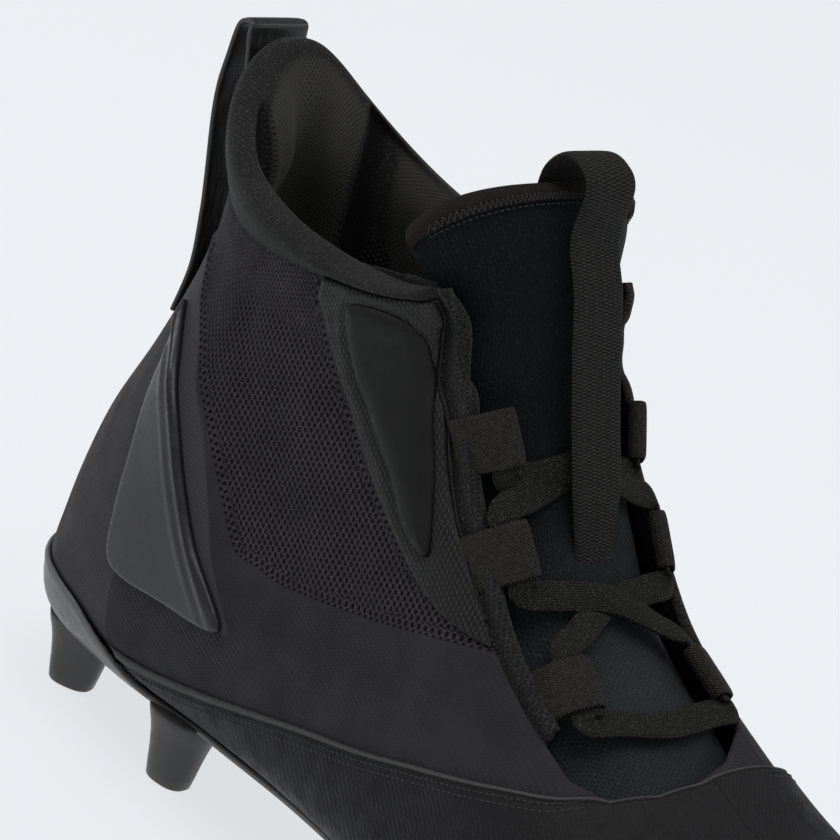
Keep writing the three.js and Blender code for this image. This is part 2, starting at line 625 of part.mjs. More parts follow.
// back is a share of the bow, and up of the rise
const tapeArch = [{ back: 0.69, up: -0.8 }, { back: 0.48, up: 1 }, { back: 0.31, up: 0.8 }];
const tapeEnd = [18.9, 18.6, 18.3]; // sections where its upper end lies on the collar
function onBack(s, height) {
  const point = skinPoint(s, 0, height);
  return [point.x, point.z];
}
const [peakX, peakZ] = onBack(topRow, 0);
const tapeLine = [
  ...tapeRows.map(({ s, off }) => onBack(s, tapeSeat + off * tapeBow)),
  ...tapeArch.map(({ back, up }) => [peakX - back * tapeBow, peakZ + up * tapeRise]),
  ...tapeEnd.map((s) => onBack(s, tapeSeat + collarBulge)),
];
const tapeStations = 40;
const tape = band(middleStations(tapeLine, tapeStations), tapeWidth, tapeThickness);
addPiece('heel_pull_tape', tape, 0x202022, 0.35);

// Pull strap: from the tongue's top it arches over and hangs down the tongue's face
const strapClearance = 0.3;
const strapSeat = gap + strapThickness / 2 + strapClearance;
// The arch's points are shares of its rise from the tongue's top, and over is the height over the
// strap's seat on the tongue
const strapArch = [{ x: -0.275, z: 0.175 }, { x: -0.15, z: 0.7 }, { x: 0.425, z: 1 }, { x: 1, z: 0.6 }];
const strapRows = [
  { t: 0.87, over: 3.4 }, { t: 0.74, over: 4.2 }, { t: 0.6, over: 4.2 }, { t: 0.46, over: 4.4 },
  { t: 0.37, over: 3.4 }, { t: 0.3, over: 0 },
];
const tongueTop = tonguePoint(1, 0);
const strapLine = [
  ...strapArch.map(({ x, z }) => [tongueTop.x + x * strapRise, tongueTop.z + z * strapRise]),
  ...strapRows.map(({ t, over }) => {
    const point = tonguePoint(t, 0).addScaledVector(tongueNormal(t, 0), strapSeat + over);
    return [point.x, point.z];
  }),
];
const strap = band(middleStations(strapLine, 26), strapWidth, strapThickness);
addPiece('tongue_pull_strap', strap, 0x2a2a2b, 0.9);

// Lace loops: folded webbing whose hole carries the lace. Each row gives the section, and the
// root's and hole's offsets from the middle as shares of half the throat's width.
const loopRows = [
  { s: 10.1, root: 0.78, hole: 0.56 },
  { s: 8.8, root: 0.87, hole: 0.62 },
  { s: 7.55, root: 0.87, hole: 0.62 },
];
function angleAt(s, offset) {
  let [low, high] = [Math.PI / 2, Math.PI];
  for (let i = 0; i < 24; i += 1) {
    const middle = (low + high) / 2;
    if (-lastPoint(s, middle).y > offset) low = middle;
    else high = middle;
  }
  return (low + high) / 2;
}
const laceSeat = 0.9; // height of the loops' holes over the last's form
const laceCrossing = -1.4; // height of the lace's crossings there, on the tongue
const holeLength = laceWidth + 4 * gap;
const holeHeight = laceThickness + 4 * gap;
function loopFrame({ s, root, hole }, side) {
  const half = throatWidth / 2;
  const rootPoint = skinPoint(s, side * angleAt(s, root * half), laceSeat);
  const holeAngle = side * angleAt(s, hole * half);
  const centre = skinPoint(s, holeAngle, laceSeat);
  const across = centre.clone().sub(rootPoint).normalize();
  const normal = lastNormal(s, holeAngle);
  const along = normal.clone().cross(across).normalize();
  const up = across.clone().cross(along).normalize();
  return { rootPoint, centre, across, along, up, reach: centre.distanceTo(rootPoint) };
}
function loopSolid(row, side) {
  const { centre, across, along, up, reach } = loopFrame(row, side);
  const tip = holeLength / 2 + webbingThickness;
  const high = holeHeight / 2 + webbingThickness;
  const outline = new THREE.Shape([
    [-reach, -webbingThickness], [-holeLength / 2, -high], [tip * 0.7, -high], [tip, -high * 0.4],
    [tip, high * 0.4], [tip * 0.7, high], [-holeLength / 2, high], [-reach, webbingThickness],
  ].map(([a, h]) => new THREE.Vector2(a, h)));
  const hole = new THREE.Path([
    [-holeLength / 2, -holeHeight / 2], [-holeLength / 2, holeHeight / 2], [holeLength / 2, holeHeight / 2],
    [holeLength / 2, -holeHeight / 2],
  ].map(([a, h]) => new THREE.Vector2(a, h)));
  outline.holes.push(hole);
  const body = new THREE.ExtrudeGeometry(outline, { depth: webbingWidth, bevelEnabled: false });
  body.translate(0, 0, -webbingWidth / 2);
  const frame = new THREE.Matrix4().makeBasis(across, up, across.clone().cross(up));
  body.applyMatrix4(frame.setPosition(centre));
  return solid(body);
}
for (const [sideName, side] of [['lateral', 1], ['medial', -1]]) {
  loopRows.forEach((row, i) => {
    addPiece(`lace_loop_${sideName}_${i + 1}`, loopSolid(row, side), 0x1f1f1d, 0.9);
  });
}

// Lace: two strands that cross between the loops, joined where they cross, and a last bar
const laceTurn = 3.4; // how far a strand runs straight out of a loop
const laceLean = 0.35; // share of the way to a crossing where a strand has turned towards it
const lastBar = 0.42; // how many sections the last crossing lies before the last loops
function crossingAt(s) {
  return { point: skinPoint(s, Math.PI, laceCrossing), normal: lastNormal(s, Math.PI) };
}
function between(a, b, t) {
  const normal = a.normal.clone().lerp(b.normal, t).normalize();
  return { point: a.point.clone().lerp(b.point, t), normal };
}
function strandStations(startSide) {
  const runs = loopRows.map((row, i) => {
    const { centre, along, up } = loopFrame(row, i % 2 === 0 ? startSide : -startSide);
    const toToe = along.clone().multiplyScalar(Math.sign(along.x));
    const edge = webbingWidth / 2;
    const places = [i > 0 ? -edge - laceTurn : -edge * 0.6, -edge * 0.5, edge * 0.9, edge + laceTurn];
    return places.map((place) => ({ point: centre.clone().addScaledVector(toToe, place), normal: up }));
  });
  const stations = [];
  runs.forEach((run, i) => {
    stations.push(...run);
    const next = loopRows[i + 1];
    const crossing = crossingAt(next ? (loopRows[i].s + next.s) / 2 : loopRows[i].s - lastBar);
    stations.push(between(run.at(-1), crossing, laceLean), crossing);
    if (next) stations.push(between(crossing, runs[i + 1][0], 1 - laceLean));
  });
  return stations;
}
const [strandOne, strandTwo] = [1, -1].map((side) => band(strandStations(side), laceWidth, laceThickness));
addPiece('lace', strandOne.add(strandTwo), 0x1a1a1a, 0.95);

// The origin lies on the ground under the middle of the whole shoe
const bounds = new THREE.Box3().setFromObject(group);
const middle = bounds.getCenter(new THREE.Vector3());
group.position.set(-middle.x, -middle.y, -bounds.min.z);
const shoe = new THREE.Group();
shoe.add(group);

export default shoe;
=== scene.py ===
import bpy, bmesh
import numpy as np
from math import pi, sin, cos
from mathutils import Matrix, Vector


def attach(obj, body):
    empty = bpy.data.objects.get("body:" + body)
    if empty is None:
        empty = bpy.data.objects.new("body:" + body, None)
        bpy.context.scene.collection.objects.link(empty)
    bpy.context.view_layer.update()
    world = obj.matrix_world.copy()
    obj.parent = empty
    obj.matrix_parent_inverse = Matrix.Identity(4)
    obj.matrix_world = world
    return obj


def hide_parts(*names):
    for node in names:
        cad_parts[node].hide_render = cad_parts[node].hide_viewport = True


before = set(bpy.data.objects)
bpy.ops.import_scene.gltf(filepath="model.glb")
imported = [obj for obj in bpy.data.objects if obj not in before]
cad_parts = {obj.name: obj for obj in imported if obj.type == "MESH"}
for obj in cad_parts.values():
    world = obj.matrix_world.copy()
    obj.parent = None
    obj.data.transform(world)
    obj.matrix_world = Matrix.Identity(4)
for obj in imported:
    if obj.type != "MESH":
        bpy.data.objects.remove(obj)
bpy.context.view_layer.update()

# The last: every skin of the shoe is a height over this form. Lengths are millimetres from the
# heel's back, the middle line and the stud tips, and become the row's metres in toRow.
shoe = {"length": 297, "ballWidth": 100, "heelWidth": 74, "instepHeight": 72, "ankleHeight": 130,
        "bedHeight": 16, "heelBack": (-148.362, 0.802, 0.0), "seamRow": 17}
# Columns: back x, back z, front x, front z, centre, low and high half widths of the outer side,
# then of the inner side, back rounding, front rounding, dip. x is a share of the length.
footRows = np.array([
    [1.000, 0.194, 1.000, 0.208, 0.090, 0.000, 0.000, 0.000, 0.000, 2.0, 2.0, 0],
    [0.992, 0.111, 0.987, 0.347, 0.090, 0.150, 0.120, 0.150, 0.130, 2.4, 2.2, 0],
    [0.966, 0.056, 0.956, 0.444, 0.080, 0.270, 0.220, 0.260, 0.220, 2.8, 2.3, 0],
    [0.916, 0.021, 0.899, 0.542, 0.060, 0.390, 0.310, 0.370, 0.310, 3.2, 2.5, 0],
    [0.842, -0.007, 0.818, 0.604, 0.030, 0.470, 0.350, 0.440, 0.350, 3.6, 2.6, 0],
    [0.754, -0.021, 0.731, 0.632, 0.010, 0.520, 0.350, 0.480, 0.350, 4.0, 2.7, 0],
    [0.660, -0.014, 0.643, 0.667, 0.000, 0.520, 0.330, 0.460, 0.340, 4.0, 2.8, 0],
    [0.559, 0.014, 0.569, 0.778, 0.000, 0.470, 0.310, 0.400, 0.320, 4.0, 2.8, 0],
    [0.451, 0.042, 0.488, 0.951, 0.000, 0.410, 0.300, 0.360, 0.300, 4.0, 2.8, 0]])
ankleRows = np.array([
    [0.343, 0.023, 0.436, 0.652, 0.000, 0.520, 0.392, 0.480, 0.392, 4.0, 2.8, 0],
    [0.236, 0.012, 0.404, 0.758, 0.000, 0.514, 0.385, 0.493, 0.378, 4.0, 2.7, 0],
    [0.125, 0.000, 0.394, 0.838, 0.000, 0.520, 0.378, 0.507, 0.378, 4.2, 2.7, 0],
    [0.024, 0.004, 0.387, 0.877, 0.000, 0.520, 0.378, 0.514, 0.378, 3.2, 2.6, 0],
    [-0.003, 0.115, 0.384, 0.900, 0.000, 0.500, 0.378, 0.505, 0.378, 2.5, 2.6, 0],
    [0.000, 0.300, 0.380, 0.915, 0.000, 0.470, 0.378, 0.475, 0.378, 2.25, 2.6, 0.008],
    [0.017, 0.469, 0.380, 0.923, 0.000, 0.412, 0.392, 0.416, 0.392, 2.1, 2.6, 0.023],
    [0.034, 0.640, 0.380, 0.931, 0.000, 0.366, 0.405, 0.366, 0.400, 2.1, 2.6, 0.038],
    [0.036, 0.796, 0.380, 0.958, 0.000, 0.350, 0.419, 0.348, 0.412, 2.2, 2.6, 0.078],
    [0.032, 0.905, 0.377, 0.982, 0.000, 0.362, 0.428, 0.354, 0.416, 2.3, 2.6, 0.122],
    [0.020, 1.000, 0.374, 1.012, 0.000, 0.378, 0.432, 0.366, 0.418, 2.3, 2.6, 0.168]])


def sizedRows(rows, height, width):
    sized = rows.copy()
    sized[:, [0, 2]] *= shoe["length"]
    sized[:, [1, 3]] = shoe["bedHeight"] + rows[:, [1, 3]] * height
    sized[:, 4:9] *= width
    sized[:, 11] *= height
    return sized


lastRows = np.vstack([sizedRows(footRows, shoe["instepHeight"], shoe["ballWidth"]),
                      sizedRows(ankleRows, shoe["ankleHeight"], shoe["heelWidth"])])


def through(a, b, c, d, t):  # smooth value through four neighbours
    return 0.5 * (2 * b + (c - a) * t + (2 * a - 5 * b + 4 * c - d) * t * t
                  + (3 * b - a - 3 * c + d) * t ** 3)


def lastPoints(s, angle):  # s counts rows from the toe, angle 0 is the back and pi the front
    s, angle = np.broadcast_arrays(np.asarray(s, float), np.asarray(angle, float))
    top = len(lastRows) - 1
    i = np.clip(np.floor(s).astype(int), 0, top - 1)
    near = [lastRows[np.clip(i + k, 0, top)] for k in (-1, 0, 1, 2)]
    at = through(*near, (s - i)[..., None])
    along, across = np.cos(angle), np.sin(angle)
    power = 2 / np.where(along > 0, at[..., 9], at[..., 10])
    share = 0.5 - 0.5 * np.sign(along) * np.abs(along) ** power
    reach = np.abs(across) ** power
    outer = at[..., 5] + (at[..., 6] - at[..., 5]) * share
    inner = at[..., 7] + (at[..., 8] - at[..., 7]) * share
    half = np.where(across > 0, outer, inner)
    return np.stack([at[..., 0] + (at[..., 2] - at[..., 0]) * share,
                     at[..., 4] - np.sign(across) * reach * half,
                     at[..., 1] + (at[..., 3] - at[..., 1]) * share - at[..., 11] * reach ** 2], -1)


def evenAngle(turn):  # spreads stations evenly round a row's rounding
    quarters = np.asarray(turn, float) / (pi / 2)
    whole = np.floor(quarters)
    part = quarters - whole
    return (whole + part * part * (3 - 2 * part)) * pi / 2


def lastNormals(s, angle):
    step = 0.02
    alongRow = lastPoints(s + step, angle) - lastPoints(s - step, angle)
    around = lastPoints(s, angle + step) - lastPoints(s, angle - step)
    return unit(np.cross(around, alongRow))


def skinPoints(s, angle, height=0.0):
    return lastPoints(s, angle) + lastNormals(s, angle) * np.asarray(height)[..., None]


def toRow(points):
    return (np.asarray(points) + shoe["heelBack"]) * 0.001


# Lines drawn on the shoe, in its side view (x, z) or its plan (x, y)
def smoothLine(points, steps=10, closed=False):
    points = np.array(points, float)
    count = len(points)
    spans = count if closed else count - 1
    pick = (lambda k: points[k % count]) if closed else (lambda k: points[min(max(k, 0), count - 1)])
    line = [through(pick(i - 1), pick(i), pick(i + 1), pick(i + 2), t)
            for i in range(spans) for t in np.linspace(0, 1, steps, endpoint=False)]
    line.append(points[0] if closed else points[-1])
    return np.array(line)


def unit(vectors):
    return vectors / np.linalg.norm(vectors, axis=-1, keepdims=True)


def runAlong(line):
    return np.concatenate([[0], np.cumsum(np.linalg.norm(np.diff(line, axis=0), axis=1))])


def evenLine(line, spacing):  # the same line with stations a set distance apart
    run = runAlong(line)
    at = np.linspace(0, run[-1], max(2, int(run[-1] / spacing) + 1))
    return np.stack([np.interp(at, run, line[:, k]) for k in range(line.shape[1])], -1)


def lineDistance(points, line):
    nearest = np.full(len(points), 1e9)
    start, span = line[:-1], np.diff(line, axis=0)
    long = np.maximum((span ** 2).sum(1), 1e-12)
    for k in range(0, len(points), 8000):
        p = points[k:k + 8000, None, :]
        t = np.clip(((p - start) * span).sum(-1) / long, 0, 1)
        nearest[k:k + 8000] = np.sqrt(((p - start - t[..., None] * span) ** 2).sum(-1).min(1))
    return nearest


def lineRun(points, line):  # how far along a line the nearest place on it is
    start, span = line[:-1], np.diff(line, axis=0)
    long = np.sqrt(np.maximum((span ** 2).sum(1), 1e-12))
    before = np.concatenate([[0], np.cumsum(long)[:-1]])
    run = np.zeros(len(points))
    for k in range(0, len(points), 8000):
        p = points[k:k + 8000, None, :]
        t = np.clip(((p - start) * span).sum(-1) / long ** 2, 0, 1)
        pick = ((p - start - t[..., None] * span) ** 2).sum(-1).argmin(1)
        run[k:k + 8000] = before[pick] + (t * long)[np.arange(len(pick)), pick]
    return run


def insideDistance(points, outline):  # plus inside a closed outline, minus outside
    line = np.vstack([outline, outline[:1]]) if np.linalg.norm(outline[0] - outline[-1]) > 1e-6 else outline
    x, y = points[:, 0], points[:, 1]
    inside = np.zeros(len(points), bool)
    for (x0, y0), (x1, y1) in zip(line[:-1], line[1:]):
        if y0 == y1:
            continue
        crosses = (y0 > y) != (y1 > y)
        inside ^= crosses & (x < (x1 - x0) * (y - y0) / (y1 - y0) + x0)
    return np.where(inside, 1, -1) * lineDistance(points, line)


searchRows, searchTurns = np.meshgrid(np.linspace(0.2, 19, 240), np.linspace(0, 2 * pi, 260), indexing="ij")
searchPoints = lastPoints(searchRows, evenAngle(searchTurns))


def onLast(targets, view, side=0):  # rows and angles where a side or plan view passes through targets
    axes = [0, 2] if view == "side" else [0, 1]
    usable = (np.sin(searchTurns) * side > 0) if view == "side" else (searchPoints[..., 2] > 45)
    candidates = searchPoints[usable][:, axes]
    rows, turns = searchRows[usable], searchTurns[usable]
    first = [((candidates - t) ** 2).sum(1).argmin() for t in targets]
    s, a = rows[first].copy(), turns[first].copy()
    for _ in range(5):
        here = lastPoints(s, evenAngle(a))[:, axes]
        ds = (lastPoints(s + 0.01, evenAngle(a))[:, axes] - here) / 0.01
        da = (lastPoints(s, evenAngle(a + 0.01))[:, axes] - here) / 0.01
        miss = targets - here
        det = ds[:, 0] * da[:, 1] - ds[:, 1] * da[:, 0]
        det = np.where(np.abs(det) < 1e-3, 1e-3, det)
        stepS = (miss[:, 0] * da[:, 1] - miss[:, 1] * da[:, 0]) / det
        stepA = (ds[:, 0] * miss[:, 1] - ds[:, 1] * miss[:, 0]) / det
        s, a = s + np.clip(stepS, -0.2, 0.2), a + np.clip(stepA, -0.1, 0.1)
    return np.clip(s, 0.15, 19), evenAngle(a)


print("form ready")


# Meshes
def gridOnLast(rowValues, turnValues, closed=False):
    bm = bmesh.new()
    rowCount, turnCount = len(rowValues) - 1, len(turnValues) - 1
    bmesh.ops.create_grid(bm, x_segments=rowCount, y_segments=turnCount, size=0.5)
    rowLayer = bm.verts.layers.float.new("row")
    turnLayer = bm.verts.layers.float.new("turn")
    for v in bm.verts:
        v[rowLayer] = rowValues[round((v.co.x + 0.5) * rowCount)]
        v[turnLayer] = turnValues[round((v.co.y + 0.5) * turnCount)]
    settle(bm)
    if closed:
        bmesh.ops.remove_doubles(bm, verts=bm.verts, dist=1e-4)
    return bm


def closedSkin(rowValues, count):  # all round the last and closed at the toe
    bm = gridOnLast(rowValues, np.linspace(0, 2 * pi, count), closed=True)
    rowLayer = bm.verts.layers.float["row"]
    toe = [e for e in bm.edges if e.is_boundary and all(v[rowLayer] < 0.1 for v in e.verts)]
    bmesh.ops.holes_fill(bm, edges=toe, sides=0)
    return bm


def rowsAndAngles(bm):
    rowLayer, turnLayer = bm.verts.layers.float["row"], bm.verts.layers.float["turn"]
    return np.array([v[rowLayer] for v in bm.verts]), evenAngle([v[turnLayer] for v in bm.verts])


def settle(bm, height=None):  # puts each vertex on the last at a height
    s, a = rowsAndAngles(bm)
    points = skinPoints(s, a, np.zeros(len(s)) if height is None else height)
    for v, p in zip(bm.verts, points):
        v.co = p


def coordinates(bm):
    return np.array([v.co[:] for v in bm.verts])


def splitAlong(bm, field, keep=None):  # cuts edges where the field is 0; keep=1 drops what is below 0
    bm.verts.index_update()
    value = field(coordinates(bm))
    value = np.where(np.abs(value) < 1e-5, 1e-5, value)
    layer = bm.verts.layers.float.get("field") or bm.verts.layers.float.new("field")
    for v, f in zip(bm.verts, value):
        v[layer] = f
    crossing = [e for e in bm.edges if e.verts[0][layer] * e.verts[1][layer] < 0]
    fresh = []
    for e in crossing:
        a, b = e.verts
        made = bmesh.utils.edge_split(e, a, a[layer] / (a[layer] - b[layer]))
        made[1][layer] = 0
        fresh.append(made[1])
    bmesh.ops.connect_verts(bm, verts=fresh)
    if keep:
        dead = [f for f in bm.faces if sum(v[layer] for v in f.verts) * keep < 0]
        bmesh.ops.delete(bm, geom=dead, context="FACES")
        bmesh.ops.delete(bm, geom=[v for v in bm.verts if not v.link_faces], context="VERTS")


def faceOut(bm):  # faces look along the last's own normals
    s, a = rowsAndAngles(bm)
    bm.verts.index_update()
    bm.normal_update()
    normals = lastNormals(s, a)
    agree = sum(Vector(normals[f.verts[0].index]).dot(f.normal) for f in list(bm.faces)[::17])
    if agree < 0:
        bmesh.ops.reverse_faces(bm, faces=bm.faces)


def finishPiece(name, bm, material, replaced=(), uv=None, fields=None):
    points = coordinates(bm)
    for v, p in zip(bm.verts, toRow(points)):
        v.co = p
    mesh = bpy.data.meshes.new(name)
    bm.to_mesh(mesh)
    bm.free()
    piece = bpy.data.objects.new(name, mesh)
    bpy.context.scene.collection.objects.link(piece)
    corner = np.zeros(len(mesh.loops), np.int32)
    mesh.loops.foreach_get("vertex_index", corner)
    if uv is not None:
        layer = mesh.uv_layers.new(name="weave")
        layer.data.foreach_set("uv", np.asarray(uv, np.float32)[corner].ravel())
    for key, values in (fields or {}).items():
        made = mesh.attributes.new(key, "FLOAT", "POINT")
        made.data.foreach_set("value", np.asarray(values, np.float32))
    for extra in ("row", "turn", "field", "ring", "side"):
        if extra in mesh.attributes:
            mesh.attributes.remove(mesh.attributes[extra])
    mesh.shade_smooth()
    mesh.materials.append(material)
    if replaced:
        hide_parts(*replaced)
    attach(piece, "root")
    return piece


def thicken(piece, thickness):  # a wall that grows inwards from the faces
    wall = piece.modifiers.new("wall", "SOLIDIFY")
    wall.thickness = thickness * 0.001
    wall.offset = -1
    wall.use_even_offset = False
    return piece


def roundedEdge(distance, radius):  # 0 at an edge, 1 from a radius inside it
    return np.sqrt(np.clip(1 - (1 - np.clip(distance / radius, 0, 1)) ** 2, 0, 1))


def softMin(a, b, reach):
    low = np.minimum(a, b)
    return low - reach * np.log1p(np.exp(-np.clip(np.abs(a - b) / reach, 0, 30)))


def softStep(value, low, high):
    t = np.clip((value - low) / (high - low), 0, 1)
    return t * t * (3 - 2 * t)


def weaveFromSide(points):  # arc along the shoe's side and round its heel, and the height
    x, y, z = points.T
    turn, radius = 45.0, 37.0
    behind = np.arctan2(turn - x, np.abs(y) + 1e-6)
    return np.stack([np.where(x > turn, x - turn, -radius * np.maximum(behind, 0)), z], -1)


def ribbonMesh(stations, normals, section, spread=None):  # a closed section carried along stations
    count, sides = len(stations), len(section)
    along = unit(np.gradient(stations, axis=0))
    across = unit(np.cross(along, normals))
    up = np.cross(across, along)
    run = runAlong(stations)
    section = np.array(section, float)
    outline = np.vstack([section, section[:1]])
    bm = bmesh.new()
    bmesh.ops.create_grid(bm, x_segments=count - 1, y_segments=sides, size=0.5)
    uLayer, vLayer = bm.verts.layers.float.new("row"), bm.verts.layers.float.new("turn")
    scale = np.ones((count, 2)) if spread is None else np.asarray(spread)
    for v in bm.verts:
        i, j = round((v.co.x + 0.5) * (count - 1)), round((v.co.y + 0.5) * sides)
        a, b = outline[j]
        v.co = stations[i] + across[i] * a * scale[i][0] + up[i] * b * scale[i][1]
        v[uLayer], v[vLayer] = run[i], a if b >= 0 else -a
    bmesh.ops.remove_doubles(bm, verts=bm.verts, dist=1e-4)
    bmesh.ops.holes_fill(bm, edges=[e for e in bm.edges if e.is_boundary], sides=0)
    bmesh.ops.recalc_face_normals(bm, faces=bm.faces)
    return bm, np.array([(v[uLayer], v[vLayer]) for v in bm.verts])


def flatSection(width, thickness, sides=20, roundness=0.35):
    return [(np.sign(cos(t)) * abs(cos(t)) ** roundness * width / 2,
             np.sign(sin(t)) * abs(sin(t)) ** 0.8 * thickness / 2)
            for t in np.linspace(0, 2 * pi, sides, endpoint=False)]


def stitches(name, points, normals, material, size):  # size is length, width and gap
    long, wide, space = size
    line = evenLine(points, long + space)
    run = np.linspace(0, 1, len(line))
    source = np.linspace(0, 1, len(points))
    bm = bmesh.new()
    for i in range(len(line) - 1):
        ahead = unit(line[i + 1] - line[i])
        up = np.array([np.interp(run[i], source, normals[:, k]) for k in range(3)])
        aside = unit(np.cross(up, ahead))
        up = np.cross(ahead, aside)
        turn = Matrix([[ahead[k] * long, aside[k] * wide, up[k] * wide * 0.8, line[i][k]] for k in range(3)]
                      + [[0, 0, 0, 1]])
        bmesh.ops.create_uvsphere(bm, u_segments=6, v_segments=4, radius=0.5,
                                  matrix=turn @ Matrix.Rotation(pi / 2, 4, "Y"))
    bmesh.ops.recalc_face_normals(bm, faces=bm.faces)
    return finishPiece(name, bm, material)


# Finishes: colours are linear, pattern sizes are millimetres on the piece's own weave map
class Finish:
    def __init__(self, name, colour, roughness, **sockets):
        self.material = bpy.data.materials.new(name)
        self.material.use_nodes = True
        self.tree = self.material.node_tree
        self.shader = self.tree.nodes["Principled BSDF"]
        self.colour = (*colour, 1)
        self.shader.inputs["Base Color"].default_value = self.colour
        self.shader.inputs["Roughness"].default_value = roughness
        for key, value in sockets.items():
            self.shader.inputs[key.replace("_", " ")].default_value = value

    def put(self, value, socket):
        if isinstance(value, bpy.types.NodeSocket):
            self.tree.links.new(value, socket)
        else:
            socket.default_value = value

    def node(self, kind, inputs=(), out=0, **settings):
        made = self.tree.nodes.new(kind)
        for key, value in settings.items():
            setattr(made, key, value)
        for key, value in dict(inputs).items():
            self.put(value, made.inputs[key])
        return made.outputs[out]

    def math(self, operation, a, b=0.0, c=0.0, clamp=False):
        return self.node("ShaderNodeMath", {0: a, 1: b, 2: c}, operation=operation, use_clamp=clamp)

    def times(self, a, b):
        return self.math("MULTIPLY", a, b)

    def plus(self, a, b):
        return self.math("ADD", a, b)

    def minus(self, a, b):
        return self.math("SUBTRACT", a, b)

    def weave(self):
        uv = self.node("ShaderNodeUVMap", uv_map="weave")
        split = self.node("ShaderNodeSeparateXYZ", {0: uv}).node
        return split.outputs[0], split.outputs[1]

    def field(self, name):
        return self.node("ShaderNodeAttribute", out="Fac", attribute_name=name)

    def turned(self, u, v, angle):
        first = self.math("MULTIPLY_ADD", u, cos(angle), self.times(v, sin(angle)))
        return first, self.math("MULTIPLY_ADD", v, cos(angle), self.times(u, -sin(angle)))

    def noise(self, size, detail=3.0, stretch=None):  # size in millimetres
        place = self.node("ShaderNodeTexCoord", out="Object")
        if stretch:
            place = self.node("ShaderNodeMapping", {"Vector": place, "Scale": stretch})
        return self.node("ShaderNodeTexNoise", {"Vector": place, "Scale": 1000.0 / size, "Detail": detail},
                         out=0)

    def wave(self, value, pitch, shift=0.0):
        return self.math("COSINE", self.math("MULTIPLY_ADD", value, 2 * pi / pitch, shift))

    def ramp(self, value, low, high, start=0.0, end=1.0):
        return self.node("ShaderNodeMapRange", {"Value": value, "From Min": low, "From Max": high,
                                                "To Min": start, "To Max": end},
                                                interpolation_type="SMOOTHSTEP")

    def mix(self, factor, a, b):  # of two numbers
        return self.node("ShaderNodeMix", {0: factor, 2: a, 3: b}, data_type="FLOAT")

    def blend(self, factor, a, b):  # of two colours
        a, b = [(*c, 1) if isinstance(c, tuple) and len(c) == 3 else c for c in (a, b)]
        return self.node("ShaderNodeMix", {0: factor, 6: a, 7: b}, out=2, data_type="RGBA")

    def paint(self, colour):
        self.put(colour, self.shader.inputs["Base Color"])

    def gloss(self, roughness):
        self.put(roughness, self.shader.inputs["Roughness"])

    def relief(self, height, strength=1.0):  # height in millimetres
        normal = self.node("ShaderNodeBump", {"Height": height, "Distance": 0.001, "Strength": strength})
        self.put(normal, self.shader.inputs["Normal"])

    def holes(self, u, v, across, down, low=0.35, high=0.8):  # staggered round holes, 1 inside
        both = self.times(self.wave(u, across), self.wave(v, 2 * down))
        return self.ramp(both, low, high)


def quarterMaterial():
    look = {"mesh": 1.62, "fine": 1.2, "turn": 0.41, "border": 1.7, "ribs": 1.15, "grid": 0.82}
    f = Finish("quarter_fabric", (0.012, 0.012, 0.013), 0.7, Specular_IOR_Level=0.12)
    u, v = f.weave()
    zone = f.field("meshZone")
    meshZone = f.ramp(zone, -0.1, 0.2)
    heelZone = f.ramp(f.field("heelZone"), -0.4, 0.4)
    across, up = f.turned(u, v, look["turn"])
    wide = f.holes(across, up, look["mesh"], look["mesh"] * 0.68, 0.0, 0.45)
    close = f.holes(across, up, look["fine"], look["fine"] * 0.7, 0.1, 0.7)
    hole = f.mix(f.ramp(v, 107, 109), wide, close)
    border = f.holes(f.field("meshRun"), zone, look["border"], look["border"] * 0.75, 0.05, 0.5)
    hole = f.mix(f.ramp(zone, 2.1, 2.5), border, hole)
    strand = f.math("MULTIPLY_ADD", hole, -0.5, 0.2)
    strand = f.plus(strand, f.times(f.wave(up, look["mesh"] * 0.68), 0.08))
    slant, along = f.turned(u, v, 1.15)
    dots = f.times(f.wave(slant, look["ribs"]), 0.05)
    ribs = f.plus(dots, f.times(f.wave(along, 0.8), 0.025))
    gridUp = f.math("MAXIMUM", f.wave(u, look["grid"]), f.wave(v, look["grid"]))
    height = f.mix(meshZone, f.mix(heelZone, ribs, f.times(gridUp, 0.05)), strand)
    f.relief(f.plus(height, f.times(f.noise(0.5, 2.0), 0.05)), 0.9)
    cloud = f.ramp(f.noise(14.0, 4.0), 0.3, 0.75)
    ground = f.blend(cloud, (0.0230, 0.0219, 0.0240), (0.0330, 0.0314, 0.0342))
    light = f.times(f.ramp(f.times(f.wave(slant, look["ribs"]), f.wave(along, 0.8)), 0.1, 0.9), 0.55)
    ground = f.blend(light, ground, (0.036, 0.0345, 0.036))
    # painted highlight: the raised grid lines in the heel zone are painted lighter
    lift = f.times(heelZone, f.ramp(gridUp, 0.6, 1.0, 0.45, 0.95))
    ground = f.blend(lift, ground, (0.062, 0.0585, 0.0650))
    strands = f.blend(cloud, (0.027, 0.0235, 0.0265), (0.040, 0.0345, 0.0390))
    strands = f.blend(f.times(f.ramp(f.noise(0.6, 1.0), 0.56, 0.72), 0.5), strands, (0.085, 0.076, 0.088))
    # painted shade: the mesh holes are painted near black for the shade inside them
    strands = f.blend(hole, strands, (0.0012, 0.0012, 0.0014))
    f.paint(f.blend(meshZone, ground, strands))
    f.gloss(f.ramp(f.noise(6.0), 0.3, 0.8, 0.62, 0.82))
    return f.material


